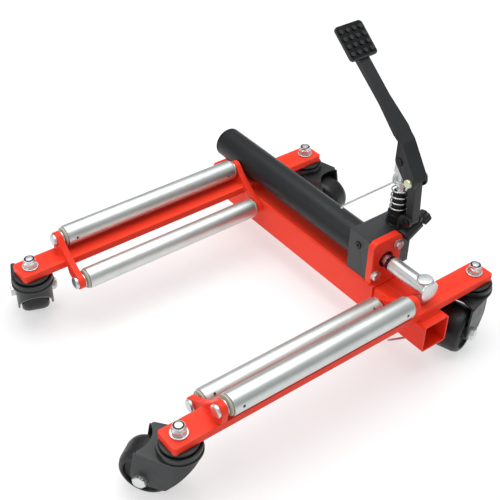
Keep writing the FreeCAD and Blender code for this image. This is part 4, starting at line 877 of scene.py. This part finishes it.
def socket_plug():
    """Sealing plug in the block's face: a near-black ring round it that paints the shade of its
    groove, and a hexagonal socket in the middle.
    """
    proud = 0.6
    place = at(89.8, BLOCK_FRONT_Y - proud, 160.2, (0, 1, 0))
    body = turned([(0.01, -0.5), (4.4, -0.5, 0.4), (4.6, 11), (0.01, 11)], 48)
    item = piece(
        "socket_plug", *placed(body, place), "dark_steel", "frame", ["block_plug"],
        look="black_paint",
    )
    socket_corner, socket_depth = 2.9, 6
    socket = turned([
        (0.01, -2), (socket_corner, -2), (socket_corner, socket_depth), (0.01, socket_depth),
    ], 6)
    cut(item, piece("cutter_plug", *placed(socket, place), "dark_steel", "frame"))
    # The near-black ring is painted shade: it stands for the dark groove round the plug.
    ring = turned([(4.65, -0.2), (6.2, -0.2, 0.2), (6.2, 0.1), (4.65, 0.1)], 48, closed=True)
    piece("plug_groove_shade_ring", *placed(ring, place), "dark_steel", "frame", look="groove_shade_black")


socket_plug()

# ---------------------------------------------------------------- foot pump

SPRING_SEAT_Z, SPRING_CAP_Z = 199, 257

lathe_piece(
    "pump_barrel_body",
    [
        (8.1, 178.5), (18.5, 178.5), (18.5, 180.8, 0.6), (17.2, 182.4, 0.6), (17, 183, 0.4),
        (17, 197.6, 0.5), (16.2, SPRING_SEAT_Z, 0.6), (13.4, SPRING_SEAT_Z, 0.3), (12.4, 200, 0.6),
        (12.4, 234, 1.0), (8.1, 235, 0.3),
    ],
    at(PUMP_X, PUMP_Y, 0), "black_paint", "frame", ["pump_barrel"], closed=True, look="dark_paint",
)


def return_spring():
    """Five turns between the barrel's shoulder and the plunger's cap.

    The turns open a little where the wire hook passes between them.
    """
    radius, wire, steps = 14.6, 1.3, 48
    stations = (
        (0, SPRING_SEAT_Z + wire), (3.7, 239.0), (4.5, 252.2), (5, SPRING_CAP_Z - wire),
    )
    points = []
    for (turn, low), (next_turn, high) in zip(stations, stations[1:]):
        count = round((next_turn - turn) * steps)
        for index in range(count):
            share = index / count
            angle = 2 * math.pi * (turn + share * (next_turn - turn))
            points.append((
                PUMP_X + radius * math.cos(angle), PUMP_Y + radius * math.sin(angle),
                low + share * (high - low),
            ))
    points.append((PUMP_X + radius, PUMP_Y, stations[-1][1]))
    item = piece(
        "return_spring_coil", *swept(points, wire, 14), "spring_steel", "frame", ["return_spring"],
    )
    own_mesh(item)


return_spring()

VALVE_TILT = math.radians(30)
VALVE_FOOT = Vector((122.5, 196, 168))
VALVE_AXIS = Vector((0, math.cos(VALVE_TILT), math.sin(VALVE_TILT)))


def on_valve(distance):
    """Placement on the release valve's axis."""
    return at(*(VALVE_FOOT + VALVE_AXIS * distance), VALVE_AXIS)


def release_valve():
    """Fluted knob on its stem, and the collar of the boss that the stem turns in."""
    grip = turned([
        (0.01, 0), (7.2, 0, 0.6), (10.9, 1.4, 1.2), (11.2, 8, 2), (10.9, 14.2, 1.6),
        (8.6, 16, 0.8), (0.01, 15.7),
    ], 96, lobes=(6, 2.2))
    stem = rod(4, 25)
    piece(
        "release_knob_grip", *joined([placed(grip, on_valve(35)), placed(stem, on_valve(10.7))]),
        "black_nylon", "knob", ["release_knob"],
    )
    collar = [
        (4.4, 30), (9.7, 30, 0.3), (9.7, 31.2, 0.5), (8.2, 32.4, 0.5), (7.0, 32.4, 0.3),
        (6.6, 33.6, 0.4), (4.4, 33.6, 0.2),
    ]
    lathe_piece("valve_boss_collar", collar, on_valve(0), "dark_steel", "frame", [], closed=True)


release_valve()


def linkage_pins():
    """Fulcrum bolt with its nut, plunger pin with its split pin, and the foot pin of the link."""
    fulcrum_x, fulcrum_z = 121.7, 268.3
    push_z = 292
    foot_x, foot_z = 126, 200
    lever_front_y, lever_rear_y = 191, 217
    away, towards = (0, 1, 0), (0, -1, 0)

    nut = turned([
        (M8_BORE, 0), (7.7, 0), (7.7, 5.6), (6.3, 6.5, 0.3), (M8_BORE, 6.5, 0.2),
    ], 72, 13, closed=True)
    fulcrum = [
        placed(hex_bolt_head(13, 5.3), at(fulcrum_x, lever_front_y, fulcrum_z, towards, 15)),
        placed(rod(M8, 34, 0.5), at(fulcrum_x, lever_front_y, fulcrum_z, away)),
        placed(nut, at(fulcrum_x, lever_rear_y, fulcrum_z, away, 5)),
    ]
    piece(
        "fulcrum_bolt", *joined(fulcrum), "zinc_plate", "pedal", ["lever_pins"], look="yellow_zinc",
    )

    head = turned([(0.01, 0), (6.5, 0, 0.2), (6.5, 1.7, 0.7), (5.0, 2.5, 0.5), (0.01, 2.5)], 48)
    split_pin = [
        (PUMP_X - 6, 219.5, push_z), (PUMP_X, 219.8, push_z), (PUMP_X + 6, 219.5, push_z),
        (PUMP_X + 8, 218.6, push_z - 0.5),
    ]
    push = [
        placed(head, at(PUMP_X, lever_front_y, push_z, towards)),
        placed(rod(M8, 34, 0.6), at(PUMP_X, lever_front_y, push_z, away)),
        swept(split_pin, 0.8),
    ]
    piece("plunger_push_pin", *joined(push), "zinc_plate", "pedal", look="dark_steel")

    foot_head = turned([(0.01, 0), (6, 0, 0.5), (6, 2.5, 0.3), (0.01, 2.5)], 40)
    foot = [
        placed(rod(M8, 28, 0.6), at(foot_x, 189, foot_z, away)),
        placed(foot_head, at(foot_x, 188, foot_z, away)),
    ]
    piece("link_foot_pin", *joined(foot), "dark_steel", "frame", ["link_pin"])


linkage_pins()

# ---------------------------------------------------------------- welds


def bead(name, runs, body, radius):
    """Fillet welds along straight runs: overlapping ripples, slightly uneven."""
    pitch = 2.6
    shapes = []
    for number, (start, end) in enumerate(runs):
        start, end = Vector(start), Vector(end)
        length = (end - start).length
        count = max(int(length / pitch * 6), 8)
        points = []
        for index in range(count + 1):
            share = index / count
            wander = noise.noise(Vector((share * length * 0.05, number * 3.1, len(name)))) * 0.35
            points.append(start.lerp(end, share) + Vector((wander, wander, wander * 0.5)))

        def ripple(share, length=length, number=number):
            phase = share * length / pitch
            saw = phase - math.floor(phase)
            taper = min(1, min(share, 1 - share) * length / 2.2 + 0.25)
            uneven = 1 + 0.10 * noise.noise(Vector((phase * 0.35, number * 7.7, 1.5)))
            return radius * taper * uneven * (0.90 + 0.13 * math.sin(math.pi * saw) ** 0.6)

        shapes.append(swept(points, ripple, 14))
    return piece(name, *joined(shapes), "red_paint", body, sharp=60)


def arm_welds(side_name):
    """The two roller plates on the top and the inner edge of the bar."""
    sign, body = SIDES[side_name]
    near, far = sign * (ARM_X - ARM_HALF_WIDTH), sign * (ARM_X + ARM_HALF_WIDTH)
    rear = REAR_PLATE_Y[side_name]
    runs = []
    for plate_y in (PLATE_FRONT_Y, rear):
        for y in (plate_y, plate_y + PLATE_THICKNESS):
            runs.append(((near + sign * 1.5, y, BAR_TOP), (far - sign * 1.5, y, BAR_TOP)))
            runs.append(((near, y, BAR_LOW + 1), (near, y, BAR_TOP - 1)))
    bead(side_name + "_plate_welds", runs, body, 1.9)


def beam_welds():
    """Left bar and bracket plate on the beam."""
    left, right = -(ARM_X + ARM_HALF_WIDTH), -(ARM_X - ARM_HALF_WIDTH)
    front = BEAM_FRONT_Y
    start, rear = front + 1.5, BEAM_REAR_Y - 1.5
    bead("beam_welds", [
        ((left, front, BAR_LOW), (right, front, BAR_LOW)),
        ((right, start, BAR_LOW), (right, rear, BAR_LOW)),
        ((left, rear, BAR_LOW), (left, start, BAR_LOW)),
        ((BRACKET_RIGHT_X, start + 1, BAR_LOW), (BRACKET_RIGHT_X, rear, BAR_LOW)),
        (
            (BRACKET_LEFT_X + 0.5, front, BAR_LOW + 0.3),
            (BRACKET_RIGHT_X - 0.5, front, BAR_LOW + 0.3),
        ),
        ((BLOCK_LEFT_X + 1, start, BAR_LOW), (BRACKET_LEFT_X - 1, start, BAR_LOW)),
    ], "frame", 2.3)


def tube_welds():
    """Right bar and its packing plate on the sliding tube."""
    left, right = ARM_X - ARM_HALF_WIDTH, ARM_X + ARM_HALF_WIDTH
    front, rear = AXIS_Y - 20, AXIS_Y + 20
    low = TUBE_TOP + 0.3
    bead("tube_welds", [
        ((left, front + 1, low), (left, rear - 1, low)),
        ((right, front + 1, low), (right, rear - 1, low)),
        ((left + 0.5, front, BAR_LOW), (right - 0.5, front, BAR_LOW)),
        ((left + 0.5, rear, BAR_LOW), (right - 0.5, rear, BAR_LOW)),
    ], "carriage", 1.9)


for side_name in SIDES:
    arm_welds(side_name)
beam_welds()
tube_welds()
